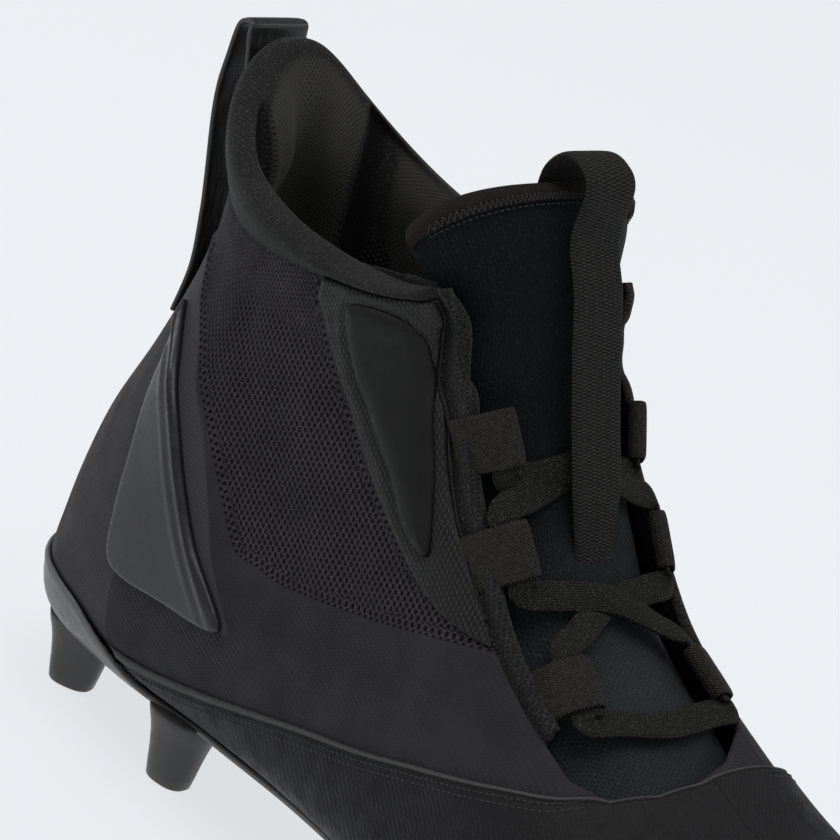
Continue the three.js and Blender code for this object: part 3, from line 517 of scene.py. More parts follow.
def frameMaterial():
    f = Finish("frame_synthetic", (0.011, 0.0105, 0.010), 0.5, Specular_IOR_Level=0.28)
    u, v = f.weave()
    pitch = 1.05
    across, up = f.turned(u, v, 0.55)
    dot = f.ramp(f.times(f.wave(across, pitch), f.wave(up, 2 * pitch)), -0.1, 0.75)
    edge = f.ramp(f.field("edge"), 0.1, 0.4)
    bump = f.times(f.times(dot, edge), 0.11)
    f.relief(f.plus(bump, f.times(f.noise(0.6, 2.0), 0.03)))
    # painted highlight: the raised dots are painted lighter as glints, away from the edges
    f.paint(f.blend(f.times(dot, edge), (0.0068, 0.0064, 0.0061), (0.026, 0.0245, 0.022)))
    f.gloss(f.ramp(f.noise(3.0), 0.3, 0.75, 0.4, 0.6))
    return f.material


def clipMaterial():
    f = Finish("clip_plastic", (0.026, 0.0255, 0.029), 0.3, Specular_IOR_Level=0.34, Coat_Weight=0.12,
               Coat_Roughness=0.2)
    cloud = f.ramp(f.noise(18.0, 3.0), 0.3, 0.7)
    f.paint(f.blend(cloud, (0.0165, 0.0150, 0.0180), (0.0225, 0.0205, 0.0245)))
    f.gloss(f.ramp(f.noise(2.2, 5.0), 0.35, 0.75, 0.26, 0.42))
    scuff = f.ramp(f.noise(0.35, 4.0, stretch=(1.0, 1.0, 0.2)), 0.55, 0.75)
    f.relief(f.plus(f.times(f.noise(14.0, 2.0), 0.04), f.times(scuff, 0.004)), 0.6)
    return f.material


def padMaterial():
    f = Finish("pad_foam", (0.0075, 0.0072, 0.0068), 0.5, Specular_IOR_Level=0.22)
    cloud = f.ramp(f.noise(10.0, 3.0), 0.3, 0.7)
    f.paint(f.blend(cloud, (0.0065, 0.0062, 0.0058), (0.0092, 0.0088, 0.0083)))
    f.gloss(f.ramp(f.noise(1.2, 4.0), 0.3, 0.8, 0.46, 0.62))
    f.relief(f.times(f.noise(0.28, 3.0), 0.03), 0.7)
    return f.material


def vampMaterial():
    f = Finish("vamp_synthetic", (0.015, 0.0145, 0.0155), 0.6, Specular_IOR_Level=0.14)
    u, v = f.weave()
    slant = f.plus(f.times(u, 0.55), f.times(v, 0.83))
    rib = f.wave(slant, 0.9)
    pebble = f.ramp(f.noise(0.7, 3.0), 0.35, 0.7)
    lip = f.ramp(f.field("edge"), 0.55, 0.95, 1, 0)
    groove = f.ramp(f.math("ABSOLUTE", f.minus(f.field("edge"), 1.15)), 0.05, 0.28, 1, 0)
    body = f.minus(1.0, lip)
    height = f.times(f.math("MULTIPLY_ADD", rib, 0.035, 0.0), body)
    height = f.plus(height, f.times(pebble, 0.05))
    height = f.minus(height, f.times(groove, 0.12))
    f.relief(height, 0.8)
    cloud = f.ramp(f.noise(30.0, 4.0), 0.3, 0.7)
    ground = f.blend(cloud, (0.0100, 0.0094, 0.0105), (0.0145, 0.0138, 0.0150))
    ground = f.blend(f.times(pebble, 0.35), ground, (0.024, 0.023, 0.0245))
    # painted shade: the groove behind the lip is painted darker
    ground = f.blend(f.times(groove, 0.8), ground, (0.006, 0.006, 0.006))
    f.paint(f.blend(lip, ground, (0.070, 0.069, 0.068)))
    f.gloss(f.ramp(f.noise(4.0), 0.3, 0.8, 0.5, 0.72))
    return f.material


def collarMaterial():
    f = Finish("collar_knit", (0.014, 0.014, 0.014), 0.85, Specular_IOR_Level=0.15, Sheen_Weight=0.06,
               Sheen_Roughness=0.5)
    u, v = f.weave()
    dimple = f.holes(u, v, 1.1, 0.75, 0.2, 0.8)
    height = f.plus(f.times(dimple, -0.13), f.times(f.noise(0.4, 2.0), 0.08))
    f.relief(height, 0.9)
    speck = f.ramp(f.noise(0.5, 1.0), 0.56, 0.70)
    cloud = f.ramp(f.noise(12.0, 3.0), 0.3, 0.7)
    ground = f.blend(cloud, (0.0130, 0.0127, 0.0125), (0.0200, 0.0192, 0.0188))
    ground = f.blend(f.times(speck, 0.6), ground, (0.075, 0.071, 0.067))
    # painted light on the inner pillows (inner 0.3 to 0.9) and painted shade in the hollow past the fold
    # (inner below 0)
    ground = f.blend(f.ramp(f.field("inner"), 0.3, 0.9, 0, 0.8), ground, (0.060, 0.057, 0.052))
    ground = f.blend(f.ramp(f.field("inner"), -0.8, -0.1, 0.85, 0), ground, (0.004, 0.004, 0.004))
    # painted shade: the knit's dimples are painted near black
    f.paint(f.blend(f.times(dimple, 0.85), ground, (0.0035, 0.0035, 0.0036)))
    return f.material


def tongueMaterial():
    f = Finish("tongue_knit", (0.006, 0.0078, 0.010), 0.85, Specular_IOR_Level=0.15, Sheen_Weight=0.04)
    u, v = f.weave()
    pin = f.holes(u, v, 1.25, 0.8, 0.35, 0.9)
    wale = f.wave(v, 0.62)
    height = f.plus(f.times(wale, 0.035), f.times(pin, -0.09))
    f.relief(f.plus(height, f.times(f.noise(0.4, 2.0), 0.06)), 0.9)
    low = f.ramp(u, 30, 80, 1, 0)
    ground = f.blend(low, (0.0026, 0.0037, 0.0046), (0.0240, 0.0290, 0.0310))
    light = f.times(f.ramp(f.noise(0.8, 1.0), 0.55, 0.72), f.mix(low, 0.16, 0.6))
    ground = f.blend(f.times(f.ramp(wale, 0.0, 1.0), 0.3), ground, (0.012, 0.015, 0.0165))
    ground = f.blend(light, ground, (0.040, 0.046, 0.050))
    # painted shade: the tongue's pin holes are painted near black
    f.paint(f.blend(f.times(pin, 0.6), ground, (0.002, 0.0025, 0.003)))
    return f.material


def webbingMaterial(name, dark, light, rib, roughness, along=0.9):
    f = Finish(name, dark, roughness, Specular_IOR_Level=0.15)
    u, v = f.weave()
    ribs = f.wave(u, rib)
    rows = f.wave(v, along)
    both = f.times(ribs, rows)
    height = f.plus(f.times(ribs, 0.05), f.times(both, 0.05))
    height = f.plus(height, f.times(f.noise(0.3, 2.0), 0.05))
    f.relief(height, 0.9)
    # painted highlight on the raised weave crests, mixed with random tone from noise
    tint = f.ramp(f.plus(both, f.times(f.noise(0.7, 1.0), 1.2)), 0.1, 1.5)
    f.paint(f.blend(tint, dark, light))
    return f.material


def laceMaterial():
    f = Finish("lace_braid", (0.013, 0.013, 0.012), 0.85, Specular_IOR_Level=0.15)
    u, v = f.weave()
    folded = f.math("ABSOLUTE", v)
    chevron = f.wave(f.minus(u, f.times(folded, 0.9)), 0.85)
    strand = f.wave(v, 0.55)
    height = f.plus(f.times(chevron, 0.04), f.times(strand, 0.03))
    height = f.plus(height, f.times(f.noise(0.3, 2.0), 0.05))
    f.relief(height, 0.9)
    tint = f.ramp(f.plus(f.times(chevron, 0.6), strand), -1.2, 1.5)
    speck = f.times(f.ramp(f.noise(0.45, 1.0), 0.56, 0.70), 0.55)
    f.paint(f.blend(speck, f.blend(tint, (0.005, 0.005, 0.0045), (0.022, 0.0215, 0.019)),
                    (0.075, 0.070, 0.058)))
    return f.material


def tapeMaterial():
    f = Finish("pull_tape", (0.02, 0.02, 0.022), 0.38, Specular_IOR_Level=0.5)
    u, v = f.weave()
    streak = f.noise(0.5, 3.0, stretch=(0.12, 1.0, 0.12))
    rim = f.ramp(f.math("ABSOLUTE", v), 7.3, 7.8)
    height = f.plus(f.times(f.wave(u, 0.5), 0.012), f.times(streak, 0.06))
    f.relief(height, 0.7)
    ground = f.blend(f.ramp(streak, 0.35, 0.75), (0.0085, 0.0085, 0.009), (0.020, 0.020, 0.021))
    f.paint(f.blend(f.times(rim, 0.8), ground, (0.055, 0.054, 0.055)))
    f.gloss(f.ramp(streak, 0.3, 0.8, 0.3, 0.5))
    return f.material


def plateMaterial():
    f = Finish("plate_plastic", (0.033, 0.032, 0.032), 0.38, Specular_IOR_Level=0.45)
    cloud = f.ramp(f.noise(25.0, 3.0), 0.3, 0.7)
    # painted highlight along the plate's rim (top) and painted light on the upper wall (side), fading down
    # the wall
    top = f.ramp(f.field("edge"), 0.35, 0.9, 1, 0)
    ground = f.blend(cloud, (0.028, 0.0265, 0.0265), (0.038, 0.036, 0.036))
    side = f.ramp(f.field("edge"), 3.0, 8.5, 0.7, 0)
    ground = f.blend(side, ground, (0.078, 0.075, 0.074))
    f.paint(f.blend(f.times(top, 0.8), ground, (0.135, 0.131, 0.129)))
    f.gloss(f.ramp(f.noise(1.4, 5.0), 0.3, 0.8, 0.32, 0.46))
    f.relief(f.plus(f.times(f.noise(0.25, 2.0), 0.012), f.times(f.noise(9.0), 0.05)), 0.6)
    return f.material


def clothMaterial(name, dark, light, pitch=0.8):
    f = Finish(name, dark, 0.85, Specular_IOR_Level=0.2)
    u, v = f.weave()
    both = f.times(f.wave(u, pitch), f.wave(v, pitch))
    f.relief(f.plus(f.times(both, 0.06), f.times(f.noise(0.35, 2.0), 0.07)), 0.9)
    f.paint(f.blend(f.ramp(f.plus(both, f.noise(3.0)), -0.3, 1.6), dark, light))
    return f.material


def floorMaterial():
    f = Finish("studio_floor", (0.196, 0.205, 0.210), 0.9, Specular_IOR_Level=0.0, Emission_Strength=0.742)
    f.shader.inputs["Emission Color"].default_value = (0.942, 0.969, 1.0, 1)
    f.paint(f.blend(f.ramp(f.noise(900.0), 0.3, 0.7), (0.196, 0.205, 0.210), (0.198, 0.207, 0.212)))
    return f.material


plastic = plateMaterial()
quarterFabric = quarterMaterial()
frameSynthetic = frameMaterial()
clipPlastic = clipMaterial()
padFoam = padMaterial()
vampSynthetic = vampMaterial()
collarKnit = collarMaterial()
tongueKnit = tongueMaterial()
pullTape = tapeMaterial()
laceBraid = laceMaterial()
loopWebbing = webbingMaterial("loop_webbing", (0.0035, 0.0034, 0.0028), (0.058, 0.054, 0.043), 0.8, 0.85,
                              0.56)
strapWebbing = webbingMaterial("strap_webbing", (0.0055, 0.0055, 0.0054), (0.038, 0.0365, 0.034), 0.72, 0.8,
                               2.6)
bindingKnit = webbingMaterial("binding_knit", (0.0085, 0.0072, 0.0062), (0.026, 0.022, 0.019), 0.7, 0.85,
                              0.7)
insoleFabric = clothMaterial("insole_fabric", (0.018, 0.018, 0.019), (0.04, 0.04, 0.042))
thread = clothMaterial("sewing_thread", (0.012, 0.012, 0.012), (0.05, 0.05, 0.05), 0.3)
print("finishes ready")


# Lines on the last, in its side view (x, z) unless noted
meshOutline = smoothLine([(-20, 106), (17.2, 105.3), (22.5, 102), (27.1, 97.8), (35.1, 93), (41.7, 88.3),
                          (49.5, 81.6), (54.8, 76.5), (61.7, 69.9), (71.1, 61.7), (78, 61.9), (87.6, 62.3),
                          (110, 67.7), (125.5, 72.4), (138, 75.8), (141.6, 76.5), (137.6, 79.6),
                          (130, 81.9),
                          (119.5, 81.1), (97.9, 91.7), (91.3, 96.8), (83.4, 102.2), (78.1, 107.2),
                          (70.6, 114), (66.7, 118.7), (60, 150), (-20, 150)], 4, closed=True)
heelOutline = np.array([(-20, 0), (41, 0), (40, 40), (78, 45.5), (66, 56.5), (52, 77), (38, 91),
                        (22.5, 102),
                        (-20, 107)], float)
throatPlan = np.array([(59.4, 25.4), (98, 22.8), (118.8, 25.4), (139.6, 26.5), (155.9, 24.4), (166.3, 19.1),
                       (175.2, 8), (179.4, -3.7), (180.3, -14.8), (177.3, -23.3), (169.3, -27),
                       (154.4, -27),
                       (139.6, -26.5), (118.8, -25.4), (98, -22.8), (59.4, -25.4)], float)  # plan (x, y)
throatFoot = 46.2  # the throat is cut above this height
cornerEdge = smoothLine([(91.2, 136), (94.5, 131.4), (98.4, 127.6), (101.6, 122.6), (104.2, 115.8)], 8)
cornerOutline = np.vstack([[(91.2, 160)], cornerEdge, [(170, 115.8), (170, 160)]])
padOutline = smoothLine([(76.6, 118.2), (80.2, 121.6), (89.1, 123.4), (94.4, 122), (98.9, 117.4),
                         (104.5, 109), (111.7, 97.6), (118.2, 85.6), (110.5, 87.2), (100.4, 95.8),
                         (91.5, 101.8), (83.2, 108.6)], 6, closed=True)
frameEdge = smoothLine([(67.1, 116.8), (71.3, 113.8), (77.8, 107.7), (84.3, 101.8), (91.5, 96.6),
                        (98.6, 91.4),
                        (108.7, 84.9), (119.4, 79.7), (130.7, 77.1), (150, 77)], 6)
frameOutline = np.vstack([frameEdge, [(178, 77), (178, 172), (67.1, 172)]])
clipOutline = smoothLine([(21.4, 93), (27.9, 83.6), (30.9, 70), (34.2, 53.1), (38.6, 41), (56, 41.8),
                          (75.4, 45.3), (61.2, 56.6), (51.4, 67), (41, 79.4), (33, 86.5)], 6, closed=True)
clipFront = smoothLine([(75.4, 45.3), (61.2, 56.6), (51.4, 67), (41, 79.4), (33, 86.5), (22.4, 92.4)], 8)
vampLine = smoothLine([(38.6, 22.5), (56.4, 25.8), (74.3, 30.6), (90, 35.5), (105.4, 40.4), (123, 45.5),
                       (139.9, 51.4), (159.8, 58.4), (172.3, 63.1), (178.2, 70.6)], 8)
vampOutline = np.vstack([[(38.6, -10)], vampLine, [(178.2, 160), (320, 160), (320, -10)]])
wallRows = [(-0.10, 1.12), (0.04, 1.08), (0.080, 1.02), (0.104, 0.92), (0.128, 0.66), (0.158, 0.40),
            (0.200, 0.26), (0.300, 0.38), (0.450, 0.40), (0.660, 0.12), (0.840, 0.18), (0.930, 0.55),
            (0.975, 1.05), (1.100, 1.20)]  # shares of the length and of the wall's 12 mm rise
wallLine = smoothLine([(x * shoe["length"], shoe["bedHeight"] + rise * 12) for x, rise in wallRows], 8)


def sideInside(points, outline):
    return insideDistance(points[:, [0, 2]], outline)


def throatKeep(points):  # plus outside the throat and the cut corner
    plan = insideDistance(points[:, :2], throatPlan)
    plan = np.where(points[:, 2] > throatFoot, -plan, 60)
    return softMin(plan, -sideInside(points, cornerOutline), 1.5)


def wallOver(points):  # height over the plate's wall line
    return points[:, 2] - np.interp(points[:, 0], wallLine[:, 0], wallLine[:, 1])


def atRest(bm):  # the last's own points under the vertices
    s, a = rowsAndAngles(bm)
    return lastPoints(s, a)


def trimmed(bm, field, loops=()):
    splitAlong(bm, field, keep=1)
    for level in loops:
        splitAlong(bm, lambda p, level=level: field(p) - level)
    bmesh.ops.remove_doubles(bm, verts=bm.verts, dist=0.07)
    return bm


# Quarter: the shell of the shoe, with its mesh windows let in
quarter = {"wall": 2.0, "meshRecess": 0.45, "creaseDepth": 0.55, "creaseWidth": 4.5}
creaseLines = [[(64, 96), (72, 82), (86, 70)], [(48, 104), (58, 92), (66, 78)],
               [(100, 74), (112, 66), (128, 60)],
               [(84, 52), (96, 56), (112, 58)]]


def creases(points):
    depth = np.zeros(len(points))
    for line in creaseLines:
        near = lineDistance(points[:, [0, 2]], smoothLine(line, 6))
        depth += np.exp(-(near / quarter["creaseWidth"]) ** 2)
    return depth * quarter["creaseDepth"]


def makeQuarter():
    rows = np.concatenate([np.linspace(0.06, 5, 16)[:-1], np.linspace(5, shoe["seamRow"] + 0.05, 150)])
    bm = closedSkin(rows, 261)
    trimmed(bm, throatKeep, loops=(0.8,))
    splitAlong(bm, lambda p: sideInside(p, meshOutline))
    splitAlong(bm, lambda p: sideInside(p, meshOutline) - 0.9)
    bmesh.ops.remove_doubles(bm, verts=bm.verts, dist=0.07)
    points = atRest(bm)
    meshZone = sideInside(points, meshOutline)
    inMesh = softStep(meshZone, 0, 0.9)
    edge = throatKeep(points)
    height = -quarter["meshRecess"] * inMesh - creases(points) * softStep(points[:, 2], 46, 60)
    height += 0.25 * np.exp(-((meshZone + 0.8) / 0.7) ** 2)
    height -= 0.5 * (1 - roundedEdge(edge + 0.1, 1.0))
    s = rowsAndAngles(bm)[0]
    height -= 0.7 * softStep(s, shoe["seamRow"] - 0.09, shoe["seamRow"] + 0.03)
    settle(bm, height)
    faceOut(bm)
    points = atRest(bm)
    piece = finishPiece("quarter", bm, quarterFabric, ["upper"], weaveFromSide(points),
                        {"meshZone": meshZone, "meshRun": lineRun(points[:, [0, 2]], meshOutline),
                         "heelZone": sideInside(points, heelOutline)})
    return thicken(piece, quarter["wall"])


makeQuarter()
print("quarter made")


# Vamp shell over the forefoot, with a rolled light edge
vamp = {"thickness": 1.5, "edge": 0.9, "wall": 0.8}


def makeVamp():
    rows = np.concatenate([np.linspace(0.06, 1, 12)[:-1], np.linspace(1, 13, 150)])
    bm = closedSkin(rows, 221)
    edgeField = lambda p: softMin(sideInside(p, vampOutline), throatKeep(p), 1.6)
    trimmed(bm, edgeField, loops=(0.25, 0.6, 1.2))
    splitAlong(bm, lambda p: wallOver(p) + 1.2, keep=1)
    points = atRest(bm)
    edge = edgeField(points)
    tuck = softStep(wallOver(points), -0.6, 2.2)
    height = 0.1 + (vamp["thickness"] * roundedEdge(edge, vamp["edge"])) * tuck
    height -= 0.22 * np.exp(-((edge - 1.25) / 0.4) ** 2)
    settle(bm, height)
    faceOut(bm)
    girth = points[:, 1] + 0.6 * np.sign(points[:, 1]) * (60 - points[:, 2])
    piece = finishPiece("vamp", bm, vampSynthetic, ["vamp_shell"],
                        np.stack([points[:, 0], girth], -1), {"edge": edge})
    return thicken(piece, vamp["wall"])


makeVamp()
print("vamp made")


# Side pieces that lie on the quarter, one for each side
def sidePiece(name, side, rows, turns, field, height, material, replaced, wall, edgeLoops,
              extra=()):
    bm = gridOnLast(rows, side * turns)
    trimmed(bm, field, loops=edgeLoops)
    for another in extra:
        splitAlong(bm, another)
    points = atRest(bm)
    edge = field(points)
    settle(bm, height(points, edge))
    faceOut(bm)
    values = {"edge": edge}
    piece = finishPiece(name, bm, material, replaced, weaveFromSide(points), values)
    return thicken(piece, wall)


clip = {"thickness": 1.5, "edge": 1.2, "ridge": 0.6, "ridgeAt": 1.3}
pad = {"sunk": 0.55, "thickness": 2.3, "edge": 4.2}
ankleFrame = {"thickness": 1.1, "edge": 1.5, "mergeLow": 78, "mergeHigh": 92}


def fromClipFront(points):
    return lineDistance(points[:, [0, 2]], clipFront)


def clipHeight(points, edge):
    front = fromClipFront(points)
    ridge = np.exp(-((front - clip["ridgeAt"]) / 0.75) ** 2) + 0.55 * np.exp(-((front - 4.2) / 0.8) ** 2)
    ridge *= softStep(points[:, 2], 40, 50)
    hollow = -0.25 * softStep(front, 5, 12)
    return 0.1 + (clip["thickness"] + clip["ridge"] * ridge + hollow) * roundedEdge(edge, clip["edge"])


def padHeight(points, edge):
    return pad["sunk"] + pad["thickness"] * roundedEdge(edge, pad["edge"]) ** 0.8


def fromSeam(points):  # down from the collar's seam, which the side view shows as a line
    return np.interp(points[:, 0], seamLine[:, 0], seamLine[:, 1]) - points[:, 2]


def frameField(points):
    return np.minimum(sideInside(points, frameOutline), throatKeep(points) - 0.15)


def frameHeight(points, edge):
    inPad = sideInside(points, padOutline)
    edge = np.minimum(edge, fromSeam(points) + 0.3)
    merge = softStep(points[:, 2], ankleFrame["mergeLow"], ankleFrame["mergeHigh"])
    rim = 0.3 * np.exp(-((inPad + 1.6) / 1.1) ** 2)
    body = (ankleFrame["thickness"] + rim) * roundedEdge(edge, ankleFrame["edge"])
    height = 0.06 + body * (0.12 + 0.88 * merge)
    return np.where(inPad > 0, height - 0.9 * softStep(inPad, 0.1, 1.2), height)


seamPoints = lastPoints(np.full(60, float(shoe["seamRow"])), np.linspace(0.15, 2.2, 60))
seamLine = seamPoints[:, [0, 2]]

for sideName, side in (("lateral", 1), ("medial", -1)):
    sidePiece(f"heel_clip_{sideName}_shell", side, np.linspace(8.8, 16.6, 220), np.linspace(0.3, 2.4, 270),
              lambda p: sideInside(p, clipOutline), clipHeight, clipPlastic,
              [f"heel_clip_{sideName}"], 0.9, (0.15, 0.4, 0.8))
    sidePiece(f"ankle_frame_{sideName}_cover", side, np.linspace(8.2, 17.02, 250),
              np.linspace(1.0, 2.65, 220), frameField, frameHeight, frameSynthetic,
              [f"ankle_frame_{sideName}"], 0.8, (0.2, 0.6, 1.1),
              (lambda p: sideInside(p, padOutline), lambda p: sideInside(p, padOutline) - 1.2))
    sidePiece(f"ankle_pad_{sideName}_foam", side, np.linspace(8.9, 17.0, 200), np.linspace(1.05, 2.62, 190),
              lambda p: sideInside(p, padOutline), padHeight, padFoam,
              [f"ankle_pad_{sideName}"], 0.5, (0.25, 0.8, 1.8, 3.2))
print("side pieces made")


# Knit strip that runs on from the collar, under the eyestay's edge
strip = {"width": 3.5, "tuck": 1.6, "depth": 1.2, "rise": 2.3, "top": 139.0}


def stripField(points):
    off = -throatKeep(points)
    ends = np.minimum(160 - points[:, 0], strip["top"] - points[:, 2])
    return np.minimum(np.minimum(off + strip["tuck"], strip["width"] - off), ends)


def stripHeight(points, edge):
    off = -throatKeep(points)
    lift = strip["rise"] * softStep(off, 0.3, 2.3) * roundedEdge(strip["width"] - off, 1.6)
    lift *= roundedEdge(strip["top"] - points[:, 2], 3.0)
    return lift * softStep(points[:, 2], 52, 70) - strip["depth"]


for sideName, side in (("lateral", 1), ("medial", -1)):
    sidePiece(f"eyestay_strip_{sideName}", side, np.linspace(6.8, 18.9, 240), np.linspace(1.2, 2.86, 170),
              stripField, stripHeight, collarKnit, (), 0.8, (0.3, 0.8, 1.5))


# Collar: padded roll with pillows inside the heel
collar = {"end": 2.2, "back": 8.0, "front": 4.8, "bulge": 1.6, "pillow": 3.6, "fold": 3.0}


def collarHeight(angle, depth, rise):
    pad = collar["back"] + (collar["front"] - collar["back"]) * softStep(np.abs(angle), 0.5, 1.3)
    swell = collar["bulge"] * np.sin(pi * np.clip(rise * 0.9, 0, 1))
    return swell * (1 - depth) - depth * pad


def makeCollar():
    # depth and rise shares of the section, from the outer seam over the rim and down the inside
    section = smoothLine([(0.13, -0.07), (0.07, 0.0), (0, 0.1), (0, 0.3), (0, 0.6), (0.05, 0.86),
                          (0.26, 1.0), (0.5, 1.03), (0.74, 1.0),
                          (0.95, 0.84), (1.02, 0.5), (0.98, 0.1), (0.78, -0.35), (0.64, -0.8),
                          (0.56, -1.15)], 5)
    stations = np.linspace(-collar["end"], collar["end"], 261)
    bm = bmesh.new()
    bmesh.ops.create_grid(bm, x_segments=len(stations) - 1, y_segments=len(section) - 1, size=0.5)
    girth = np.concatenate([[0], np.cumsum(np.hypot(np.diff(section[:, 0]) * 8,
                                                    np.diff(section[:, 1]) * 28))])
    angles, depths, rises, girths = [], [], [], []
    for v in bm.verts:
        i, j = round((v.co.x + 0.5) * (len(stations) - 1)), round((v.co.y + 0.5) * (len(section) - 1))
        angles.append(stations[i])
        depths.append(section[j, 0])
        rises.append(section[j, 1])
        girths.append(girth[j])
    angles, depths, rises, girths = map(np.array, (angles, depths, rises, girths))
    s = shoe["seamRow"] + 0.03 + rises * 1.93
    pillow = np.exp(-((rises - 0.25) / 0.45) ** 2) * softStep(depths, 0.5, 0.95)
    around = np.abs(angles)
    pillow *= 0.85 * np.exp(-((around - 0.42) / 0.26) ** 2) + 0.15
    fold = softStep(around, 0.66, 0.71) * softStep(depths, 0.3, 0.85) * softStep(rises, 1.03, 0.8)
    past = fold * softStep(around, 1.3, 0.8)
    height = collarHeight(angles, depths, rises)
    height += collar["fold"] * past - collar["pillow"] * pillow * (1 - past)
    ends = softStep(collar["end"] - around, 0, 0.06)
    mid = -2.0
    height = mid + (height - mid) * np.sqrt(ends * 0.98 + 0.02)
    height += 0.18 * np.sin(angles * 9 + 1.3) * np.sin(rises * 5) * softStep(depths, 0.3, 0.7)
    points = skinPoints(s, angles, height)
    # inner carries painted light for the inner pillows and, below 0, painted shade for the hollow past the
    # fold
    inner = depths * softStep(rises, 1.0, 0.7) * softStep(around, 2.0, 1.6)
    inner -= 1.9 * fold * softStep(around, 1.02, 0.74)
    for v, p in zip(bm.verts, points):
        v.co = p
    bmesh.ops.recalc_face_normals(bm, faces=bm.faces)
    outwards = lastNormals(s, angles)
    bm.verts.index_update()
    bm.normal_update()
    agree = sum(f.normal.dot(Vector(outwards[f.verts[0].index])) for f in bm.faces
                if depths[f.verts[0].index] < 0.1)
    if agree < 0:
        bmesh.ops.reverse_faces(bm, faces=bm.faces)
    piece = finishPiece("collar_roll", bm, collarKnit, ["collar"],
                        np.stack([angles * 33, girths], -1), {"inner": inner})
    thicken(piece, 0.8)
    return piece


makeCollar()
print("collar made")


# Tongue: a padded pad, its middle line in the side view with half widths and fall of its edges
tongueRows = np.array([
    [0.620, 0.320, 0.80, 0.30], [0.562, 0.402, 1.00, 0.60], [0.476, 0.505, 1.08, 1.10],
    [0.430, 0.625, 1.06, 1.30], [0.398, 0.732, 0.96, 1.30], [0.381, 0.815, 0.84, 1.20],
    [0.369, 0.885, 0.82, 1.15], [0.357, 0.945, 0.91, 1.10], [0.343, 1.010, 1.12, 1.20],
    [0.328, 1.069, 1.24, 1.15]])
tongue = {"halfWidth": 25.0, "wrap": 17.0, "thickness": 6.0, "dome": 0.15, "binding": 5.0}
tongueLine = np.stack([tongueRows[:, 0] * shoe["length"],
                       shoe["bedHeight"] + tongueRows[:, 1] * shoe["ankleHeight"],
                       tongueRows[:, 2] * tongue["halfWidth"], tongueRows[:, 3] * tongue["wrap"]], -1)


def tongueAt(t):
    place = np.asarray(t, float) * (len(tongueLine) - 1)
    i = np.clip(np.floor(place).astype(int), 0, len(tongueLine) - 2)
    pick = [tongueLine[np.clip(i + k, 0, len(tongueLine) - 1)] for k in (-1, 0, 1, 2)]
    return through(*pick, (place - i)[..., None])


def tonguePoints(t, v):
    t, v = np.broadcast_arrays(np.asarray(t, float), np.asarray(v, float))
    here, step = tongueAt(t), 0.01
    ahead = tongueAt(np.minimum(t + step, 1)) - tongueAt(np.maximum(t - step, 0))
    long = np.hypot(ahead[..., 0], ahead[..., 1])
    fall = here[..., 3] * np.abs(v) ** 3
    return np.stack([here[..., 0] - ahead[..., 1] / long * fall, v * here[..., 2],
                     here[..., 1] + ahead[..., 0] / long * fall], -1)


def tongueNormals(t, v):
    step = 0.01
    along = tonguePoints(np.minimum(t + step, 1), v) - tonguePoints(np.maximum(t - step, 0), v)
    across = tonguePoints(t, np.minimum(v + step, 1)) - tonguePoints(t, np.maximum(v - step, -1))
    return unit(np.cross(across, along))


def tongueFace(t, v, height):
    domed = t * (1 - tongue["dome"] * (1 - np.clip(1 - np.abs(v) ** 3, 0, 1) ** 0.42))
    return tonguePoints(domed, v) + tongueNormals(domed, v) * np.asarray(height)[..., None]


def tongueThick(t, v):
    sides = np.sqrt(np.clip(1 - np.abs(v) ** 6, 0, 1))
    ends = np.sqrt(np.clip(1 - np.maximum(0, 2 * t - 1) ** 10, 0, 1))
    return tongue["thickness"] * (0.1 + 0.9 * sides * ends)


def wrappedMesh(rings):  # closed rings of points, joined and capped
    rings = np.asarray(rings)
    count, sides = rings.shape[:2]
    bm = bmesh.new()
    bmesh.ops.create_grid(bm, x_segments=count - 1, y_segments=sides, size=0.5)
    ringLayer, sideLayer = bm.verts.layers.int.new("ring"), bm.verts.layers.int.new("side")
    for v in bm.verts:
        i, j = round((v.co.x + 0.5) * (count - 1)), round((v.co.y + 0.5) * sides)
        v.co, v[ringLayer], v[sideLayer] = rings[i, j % sides], i, j % sides
    bmesh.ops.remove_doubles(bm, verts=bm.verts, dist=1e-4)
    bmesh.ops.holes_fill(bm, edges=[e for e in bm.edges if e.is_boundary], sides=0)
    bmesh.ops.recalc_face_normals(bm, faces=bm.faces)
    return bm, np.array([(v[ringLayer], v[sideLayer]) for v in bm.verts]).T


def makeTongue():
    rowCount, half = 110, 44
    t = np.linspace(0, 1, rowCount + 1)[:, None]
    face = np.sin(np.linspace(-pi / 2, pi / 2, half + 1))
    v = np.concatenate([face, face[::-1][1:-1]])[None, :]
    under = np.concatenate([np.zeros(half + 1), np.ones(half - 1)])[None, :]
    t, v, under = np.broadcast_arrays(t, v, under)
    thick = tongueThick(t, v)
    crown = 0.9 * (1 - v ** 2) * softStep(t, 0.05, 0.3) * softStep(1 - t, 0.0, 0.12)
    crown = crown - 0.5 * np.exp(-((t - 0.945) / 0.008) ** 2) * (1 - v ** 8)
    wrinkle = 0.35 * np.exp(-((t - 0.52 - 0.03 * v) / 0.025) ** 2)
    wrinkle = wrinkle + 0.3 * np.exp(-((t - 0.66 + 0.04 * v) / 0.03) ** 2)
    height = np.where(under > 0, -thick + 0.02, crown - 0.12 * (thick < 1) - wrinkle)
    points = tongueFace(t, v, height)
    bm, (i, j) = wrappedMesh(points)
    middle = tonguePoints(np.linspace(0, 1, rowCount + 1), 0)
    run = runAlong(middle)
    uv = np.stack([run[i], v[i, j] * 27], -1)
    piece = finishPiece("tongue_padding", bm, tongueKnit, ["tongue"], uv)
    return run[-1]


tongueRun = makeTongue()


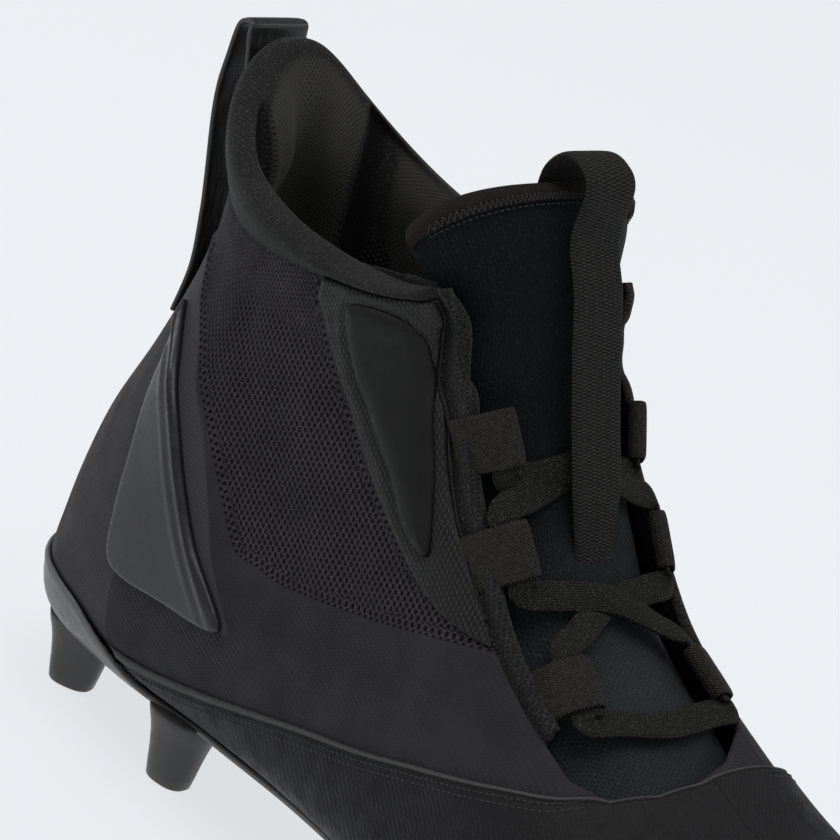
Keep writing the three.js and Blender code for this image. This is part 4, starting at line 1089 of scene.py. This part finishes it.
# Knit binding folded over the tongue's top edge
def makeBinding():
    stations = 0.985 * np.sin(np.linspace(-pi / 2, pi / 2, 161))
    depth = tongue["binding"] / tongueRun
    top, thick = 1, 2.3
    rings = []
    for v in stations:
        profile = [(top - depth, 0.75), (top - depth * 0.5, 1.05), (top - depth * 0.12, 0.75),
                   (top + 0.006, -0.4), (top + 0.008, -1.6), (top - 0.003, -thick - 0.6),
                   (top - depth * 0.5, -thick - 1.6), (top - depth, -thick - 2.0), (top - depth, -thick),
                   (top - depth * 0.5, -thick), (top - depth * 0.3, -1.2), (top - depth, 0.1)]
        line = smoothLine(profile, 2, closed=True)[:-1]
        t = np.minimum(line[:, 0], 1.0)
        over = (line[:, 0] - t) * tongueRun
        base = tongueFace(t, np.full(len(t), v), line[:, 1])
        ahead = unit(tongueFace(1.0, v, 0.0) - tongueFace(0.98, v, 0.0))
        rings.append(base + ahead * over[:, None])
    bm, (i, j) = wrappedMesh(rings)
    uv = np.stack([stations[i] * 25, j * 0.9], -1)
    finishPiece("tongue_binding", bm, bindingKnit, (), uv)
    v = np.linspace(-0.9, 0.9, 130)
    zigzag = 1 - depth * np.where(np.arange(130) % 2 == 0, 0.95, 0.45)
    line = tongueFace(zigzag, v, np.full(130, 1.15))
    stitches("binding_zigzag", line, tongueNormals(np.full(130, 0.95), v), thread,
             (0.5, 0.3, 0.02))
    row = np.linspace(-0.9, 0.9, 90)
    under = tongueFace(np.full(90, 1 - depth * 1.25), row, np.full(90, 0.42))
    stitches("binding_row", under, tongueNormals(np.full(90, 0.93), row), thread,
             (0.9, 0.3, 0.35))


makeBinding()
print("tongue made")


# Flat bands in the shoe's middle plane
def middleStations(pairs, spacing):
    line = evenLine(smoothLine(pairs, 12), spacing)
    ahead = unit(np.gradient(line, axis=0))
    zero = np.zeros(len(line))
    return (np.stack([line[:, 0], zero, line[:, 1]], -1), np.stack([-ahead[:, 1], zero, ahead[:, 0]], -1))


def bandPiece(name, stations, normals, width, thickness, material, replaced, spread=None,
              roundness=0.35):
    bm, uv = ribbonMesh(stations, normals, flatSection(width, thickness, 22, roundness), spread)
    return finishPiece(name, bm, material, replaced, uv)


def flat(point):
    return [(float(p[0]), float(p[2])) for p in np.atleast_2d(point)]


tape = {"width": 16, "thickness": 1.5, "rise": 1.0, "seat": 1.55, "bow": 9.5, "bulge": 1.4}
peak = lastPoints(19, 0)
tapeRows = np.array([(15.2, 0), (15.7, 0.12), (16.23, 0.45), (16.6, 0.65), (17.35, 0.97), (18, 1),
                     (18.5, 0.81)])
tapeArch = [(peak[0] - back * tape["bow"], peak[2] + up * tape["rise"])
            for back, up in ((0.69, -0.8), (0.48, 1), (0.31, 0.8))]
tapeOuter = skinPoints(tapeRows[:, 0], 0.0, tape["seat"] + tapeRows[:, 1] * tape["bow"])
tapeEnd = skinPoints(np.array([18.9, 18.6, 18.3]), 0.0, np.full(3, tape["seat"] + tape["bulge"]))
stations, normals = middleStations(flat(tapeOuter) + tapeArch + flat(tapeEnd), 0.7)
bandPiece("pull_tape_band", stations, normals, tape["width"], tape["thickness"], pullTape,
          ["heel_pull_tape"], roundness=0.22)

strap = {"width": 13, "thickness": 1.6, "rise": 8, "seat": 1.4}
top = tonguePoints(1.0, 0.0)
strapArch = [(top[0] + x, top[2] + z) for x, z in ((-3.6, -3.2), (-3.4, 0.35 * strap["rise"]),
                                                   (0.2, 0.9 * strap["rise"]),
                                                   (5.2, 0.92 * strap["rise"]), (9.2, 0.5 * strap["rise"]))]
hang = [(0.87, 3.4), (0.74, 4.2), (0.6, 4.2), (0.46, 4.4), (0.37, 3.0), (0.31, 0.2), (0.28, -1.6)]
overTongue = [tonguePoints(t, 0.0) + tongueNormals(t, 0.0) * (strap["seat"] + h) for t, h in hang]
stations, normals = middleStations(strapArch + [f for p in overTongue for f in flat(p)], 0.9)
narrow = np.ones((len(stations), 2))
narrow[-18:, 0] = np.linspace(1, 0.72, 18)
bandPiece("pull_strap_band", stations, normals, strap["width"], strap["thickness"], strapWebbing,
          ["tongue_pull_strap"], narrow)
for row, back in enumerate((3, 5)):
    across = np.linspace(-4.3, 4.3, 14)
    line = stations[-back] + normals[-back] * 0.95 + across[:, None] * np.array([0.12, 1, 0.05])
    stitches(f"strap_stitch_{row + 1}", line, np.repeat(normals[-back:][:1], 14, 0), thread,
             (0.9, 0.32, 0.35))
print("tape and strap made")


# Lace loops and the lace
loop = {"width": 11.5, "thickness": 0.9, "seat": 0.9, "half": 26.5, "holeLong": 6.4, "holeHigh": 2.0,
        "turn": 0.33}
loopRows = [{"s": 10.1, "root": 0.78, "hole": 0.56, "pulled": 4.5},
            {"s": 8.8, "root": 0.87, "hole": 0.62, "pulled": 4.0},
            {"s": 7.55, "root": 0.87, "hole": 0.62, "pulled": 1.0}]


def angleAt(s, offset):
    low, high = pi / 2, pi
    for _ in range(24):
        middle = (low + high) / 2
        if -lastPoints(s, middle)[1] > offset:
            low = middle
        else:
            high = middle
    return (low + high) / 2


def loopFrame(row, side):
    s = row["s"]
    root = skinPoints(s, side * angleAt(s, row["root"] * loop["half"]), loop["seat"])
    holeAngle = side * angleAt(s, row["hole"] * loop["half"])
    centre = skinPoints(s, holeAngle, loop["seat"])
    across = centre - root
    reach = np.linalg.norm(across)
    across /= reach
    centre = centre - across * row["pulled"]
    across = unit(across + np.array([np.tan(loop["turn"]), 0, 0]))
    along = unit(np.cross(lastNormals(s, holeAngle), across))
    return centre, across, along, np.cross(across, along), reach


for sideName, side in (("lateral", 1), ("medial", -1)):
    for i, row in enumerate(loopRows):
        centre, across, along, up, reach = loopFrame(row, side)
        high = loop["holeHigh"] / 2 + loop["thickness"] / 2
        tip = loop["holeLong"] / 2 + loop["thickness"] / 2
        path = [(-reach - 1.0, -1.3), (-reach * 0.8, -0.2), (-tip, high * 0.9), (-tip * 0.2, high + 0.05),
                (tip * 0.7, high * 0.95), (tip, 0), (tip * 0.7, -high * 0.95), (-tip * 0.2, -high),
                (-tip, -high), (-reach * 0.8, -1.4), (-reach - 1.0, -2.4)]
        line = evenLine(smoothLine(path, 8), 0.6)
        ahead = unit(np.gradient(line, axis=0))
        stations = centre + line[:, :1] * across + line[:, 1:] * up
        normals = -ahead[:, 1:] * across + ahead[:, :1] * up
        bandPiece(f"loop_{sideName}_{i + 1}_webbing", stations, normals, loop["width"], loop["thickness"],
                  loopWebbing, [f"lace_loop_{sideName}_{i + 1}"])

lace = {"width": 6.2, "thickness": 1.3, "turn": 2.6, "crossing": -1.4, "over": 0.75}


def acrossFrom(row, side):  # the two places at the far end of the front bar
    centre, _, along, up, _ = loopFrame(row, -side)
    toToe = along * np.sign(along[0])
    return [(centre + toToe * place, up) for place in (loop["width"] / 2 + lace["turn"],
                                                       loop["width"] * 0.45)]


def strand(startSide, order):
    runs = []
    for i, row in enumerate(loopRows):
        centre, _, along, up, _ = loopFrame(row, startSide if i % 2 == 0 else -startSide)
        toToe = along * np.sign(along[0])
        edge = loop["width"] / 2
        places = [-edge - lace["turn"] if i > 0 else -edge * 0.6, -edge * 0.5, edge * 0.9,
                  edge + lace["turn"]]
        runs.append([(centre + toToe * place, up) for place in places])
    path = []
    for i, run in enumerate(runs):
        path += run
        after = loopRows[i + 1] if i + 1 < len(loopRows) else None
        s = (loopRows[i]["s"] + after["s"]) / 2 if after else loopRows[i]["s"] - 0.42
        lift = lace["over"] * (1 if (i + order) % 2 == 0 else -1) if after else 0.0
        crossing = (skinPoints(s, pi, lace["crossing"] + lift), lastNormals(s, pi))
        mixAt = lambda a, b, t: (a[0] + (b[0] - a[0]) * t, a[1] + (b[1] - a[1]) * t)
        if not after and order:
            path.pop()
            break
        path += [mixAt(run[-1], crossing, 0.35), crossing]
        other = runs[i + 1] if after else acrossFrom(loopRows[i], startSide if i % 2 == 0 else -startSide)
        path.append(mixAt(crossing, other[0], 0.65))
        if not after:
            path += other
    points = np.array([p for p, _ in path])
    ups = np.array([n for _, n in path])
    both = evenLine(smoothLine(np.hstack([points, ups * 3]), 8), 0.7)
    return both[:, :3], unit(both[:, 3:])


for name, startSide, order in (("lace_strand_first", 1, 0), ("lace_strand_second", -1, 1)):
    stations, normals = strand(startSide, order)
    bandPiece(name, stations, normals, lace["width"], lace["thickness"], laceBraid, ["lace"],
              roundness=0.55)
print("loops and lace made")


# Insole on the footbed
insole = {"inset": 2.9, "top": 5.8, "thickness": 3.0, "cup": 2.2}


def makeInsole():
    sValues = np.linspace(0.75, 12.42, 120)
    rings = []
    for s in sValues:
        bed = lastPoints(s, 0.0)
        level = bed[2] + insole["top"]
        ends = []
        for side in (1, -1):
            low, high = 0.0, pi / 2
            for _ in range(26):
                middle = (low + high) / 2
                if skinPoints(s, side * middle, -insole["inset"])[2] < level:
                    low = middle
                else:
                    high = middle
            ends.append(skinPoints(s, side * low, -insole["inset"]))
        rings.append(ends)
    rings = np.array(rings)
    v = np.linspace(-1, 1, 41)
    share = (v + 1) / 2
    grid = rings[:, 0, None, :] * (1 - share[None, :, None]) + rings[:, 1, None, :] * share[None, :, None]
    grid[..., 2] += insole["cup"] * (np.abs(v) ** 5)[None, :] - 0.2
    bm = bmesh.new()
    bmesh.ops.create_grid(bm, x_segments=len(sValues) - 1, y_segments=40, size=0.5)
    for vert in bm.verts:
        i, j = round((vert.co.x + 0.5) * (len(sValues) - 1)), round((vert.co.y + 0.5) * 40)
        vert.co = grid[i, j]
    bmesh.ops.recalc_face_normals(bm, faces=bm.faces)
    bm.normal_update()
    if sum(f.normal.z for f in bm.faces) < 0:
        bmesh.ops.reverse_faces(bm, faces=bm.faces)
    points = coordinates(bm)
    piece = finishPiece("insole_sheet", bm, insoleFabric, ["insole"], points[:, :2])
    thicken(piece, insole["thickness"])


makeInsole()
print("insole made")


# Outsole: cupped plate with a lipped wall, studs and ribs
plate = {"side": 1.0, "bottom": 4.0, "wall": 1.3, "lip": 0.25}


def makePlate():
    rows = np.concatenate([np.linspace(0.06, 2, 24)[:-1], np.linspace(2, 14.6, 120)])
    bm = closedSkin(rows, 221)
    trimmed(bm, lambda p: -wallOver(p), loops=(0.25, 0.6, 1.1, 2.4))
    points = atRest(bm)
    s, a = rowsAndAngles(bm)
    down = np.maximum(0, -lastNormals(s, a)[:, 2]) ** 2
    edge = -wallOver(points)
    heelLip = plate["lip"] * np.exp(-((edge - 1.1) / 0.9) ** 2) * softStep(50 - points[:, 0], 0, 14)
    foot = 0.25 * np.exp(-((points[:, 2] - 15) / 2.2) ** 2) * (1 - down)
    height = 0.4 + (plate["side"] - 0.4) * roundedEdge(edge, 1.0) + heelLip * (1 - down) + foot
    height = height * (1 - down) + plate["bottom"] * down
    settle(bm, height)
    faceOut(bm)
    piece = finishPiece("outsole_plate", bm, plastic, ["outsole"], weaveFromSide(points),
                        {"edge": edge})
    thicken(piece, plate["wall"])


def bedAt(x):
    backs = lastRows[1:13, [0, 1]][::-1]
    return np.interp(x, backs[:, 0], backs[:, 1])


def joined(parts):  # one mesh of many
    whole = bmesh.new()
    for part in parts:
        holder = bpy.data.meshes.new("part")
        part.to_mesh(holder)
        part.free()
        whole.from_mesh(holder)
        bpy.data.meshes.remove(holder)
    return whole


studRows = [(0.062, -0.175, 15, 0.5), (0.062, 0.175, 15, -0.5), (0.200, -0.215, 15, 0.15),
            (0.200, 0.215, 15, -0.15),
            (0.590, -0.345, 14, 0), (0.590, 0.285, 14, 0), (0.705, -0.380, 14, 0.1),
            (0.705, 0.345, 14, -0.1),
            (0.820, -0.320, 14, 0.3), (0.820, 0.330, 14, -0.3), (0.905, -0.110, 14, 0.5),
            (0.905, 0.260, 14, -0.5)]
studTip = 9.0


def makeStuds():
    parts = []
    for x, y, base, turn in studRows:
        topZ = bedAt(x * shoe["length"]) - 1.6
        waist = topZ - 2
        levels = [(0.0, 0.01), (0.0, studTip * 0.5), (0.0, studTip * 0.82), (0.12, studTip * 0.93),
                  (0.5, studTip),
                  (waist * 0.25, studTip * 1.1), (waist * 0.5, studTip * 1.2), (waist * 0.75, base * 0.8),
                  (waist * 0.9, base * 0.87), (topZ - 1.4, base * 0.96), (topZ - 0.4, base * 1.0),
                  (topZ + 1.0, base * 1.04)]
        a = np.linspace(0, 2 * pi, 40, endpoint=False)
        rings = []
        for z, width in levels:
            long = np.sign(np.cos(a)) * np.abs(np.cos(a)) ** 0.8 * width * 0.56
            short = np.sign(np.sin(a)) * np.abs(np.sin(a)) ** 0.8 * width * 0.42
            rings.append(np.stack([x * shoe["length"] + long * cos(turn) - short * sin(turn),
                                   y * shoe["ballWidth"] + long * sin(turn) + short * cos(turn),
                                   np.full(40, z)], -1))
        parts.append(wrappedMesh(rings)[0])
    merged = joined(parts)
    points = coordinates(merged)
    finishPiece("outsole_studs", merged, plastic, ["outsole"], points[:, [0, 2]],
                {"edge": np.full(len(points), 9.0)})


def makeRibs():
    parts = []
    for x0, y0, x1, y1 in ((0.20, -0.17, 0.590, -0.12), (0.20, 0.17, 0.590, 0.10),
                           (0.590, -0.12, 0.820, -0.16),
                           (0.590, 0.10, 0.820, 0.16)):
        t = np.linspace(0, 1, 30)
        x, y = shoe["length"] * (x0 + (x1 - x0) * t), shoe["ballWidth"] * (y0 + (y1 - y0) * t)
        stations = np.stack([x, y, bedAt(x) - 4.0], -1)
        ends = np.sqrt(np.clip(1 - (2 * t - 1) ** 8, 0.02, 1))
        upwards = np.tile([0.0, 0, 1], (30, 1))
        parts.append(ribbonMesh(stations, upwards, flatSection(5, 3.6, 20, 0.6),
                                np.stack([np.ones(30), ends], -1))[0])
    merged = joined(parts)
    points = coordinates(merged)
    finishPiece("outsole_ribs", merged, plastic, ["outsole"], points[:, :2],
                {"edge": np.full(len(points), 9.0)})


makePlate()
makeStuds()
makeRibs()
print("outsole made")


# Stitch rows
def lineOnLast(points, view, side, height, spacing=0.8):
    line = evenLine(np.array(points, float), spacing)
    s, a = onLast(line, view, side)
    return skinPoints(s, a, np.full(len(s), float(height))), lastNormals(s, a)


def offsetLine(line, distance):
    ahead = unit(np.gradient(line, axis=0))
    return line + np.stack([-ahead[:, 1], ahead[:, 0]], -1) * distance


for sideName, side in (("lateral", 1), ("medial", -1)):
    for row, below in enumerate((1.9, 3.2)):
        points, normals = lineOnLast(offsetLine(vampLine, -below)[2:-3], "side", side, 1.62)
        held = int(np.argmin(np.append(throatKeep(points) > below + 0.6, False)))
        points, normals = points[:held], normals[:held]
        stitches(f"vamp_stitch_{sideName}_{row + 1}", points, normals, thread,
                 (1.0, 0.34, 0.45))
print("stitches made")

# Camera, light and floor
view = {"azimuth": 0.76799, "height": 0.37523, "roll": 0.30981, "target": (86.12, -10, 98.08),
        "distance": 1100,
        "lens": 235.9}
scene = bpy.context.scene
camera = bpy.data.objects.new("camera", bpy.data.cameras.new("camera"))
scene.collection.objects.link(camera)
scene.camera = camera
az, el, roll = view["azimuth"], view["height"], view["roll"]
forward = Vector((-sin(az) * cos(el), cos(az) * cos(el), -sin(el)))
right = Vector((cos(az), sin(az), 0))
upward = right.cross(forward)
rolledRight = right * cos(roll) + upward * sin(roll)
rolledUp = upward * cos(roll) - right * sin(roll)
place = Vector(toRow(np.array(view["target"]) - view["distance"] * np.array(forward)))
turn = Matrix((rolledRight, rolledUp, -forward)).transposed().to_4x4()
camera.matrix_world = Matrix.Translation(place) @ turn
camera.data.lens = view["lens"]
camera.data.sensor_width = 36
camera.data.clip_end = 50

light = {"world": 0.34, "key": 5.5, "fill": 1.0, "rim": 3.0, "top": 4.5}
world = bpy.data.worlds.new("studio")
scene.world = world
world.use_nodes = True
sky = world.node_tree.nodes["Background"]
sky.inputs["Color"].default_value = (0.805, 0.845, 0.865, 1)
sky.inputs["Strength"].default_value = light["world"]


def areaLight(name, place, target, size, power):
    lamp = bpy.data.objects.new(name, bpy.data.lights.new(name, "AREA"))
    scene.collection.objects.link(lamp)
    lamp.data.shape = "RECTANGLE"
    lamp.data.size, lamp.data.size_y = size
    lamp.data.energy = power
    lamp.location = place
    lamp.rotation_euler = (Vector(target) - Vector(place)).to_track_quat("-Z", "Y").to_euler()
    return lamp


areaLight("key_light", (-0.9, -0.5, 1.3), (0, 0, 0.06), (0.7, 0.7), light["key"])
areaLight("fill_light", (1.0, -1.2, 0.7), (0, 0, 0.06), (0.9, 0.6), light["fill"])
areaLight("top_light", (0.15, -0.1, 1.25), (-0.05, 0, 0.1), (0.8, 0.8), light["top"])
areaLight("rim_light", (0.5, 1.1, 0.9), (0, 0, 0.08), (0.8, 0.5), light["rim"])

floorMesh = bmesh.new()
bmesh.ops.create_grid(floorMesh, x_segments=1, y_segments=1, size=6)
mesh = bpy.data.meshes.new("floor")
floorMesh.to_mesh(mesh)
floorMesh.free()
floor = bpy.data.objects.new("floor", mesh)
scene.collection.objects.link(floor)
mesh.materials.append(floorMaterial())
scene.view_settings.view_transform = "Standard"
scene.view_settings.look = "None"
print("camera, light and floor set")
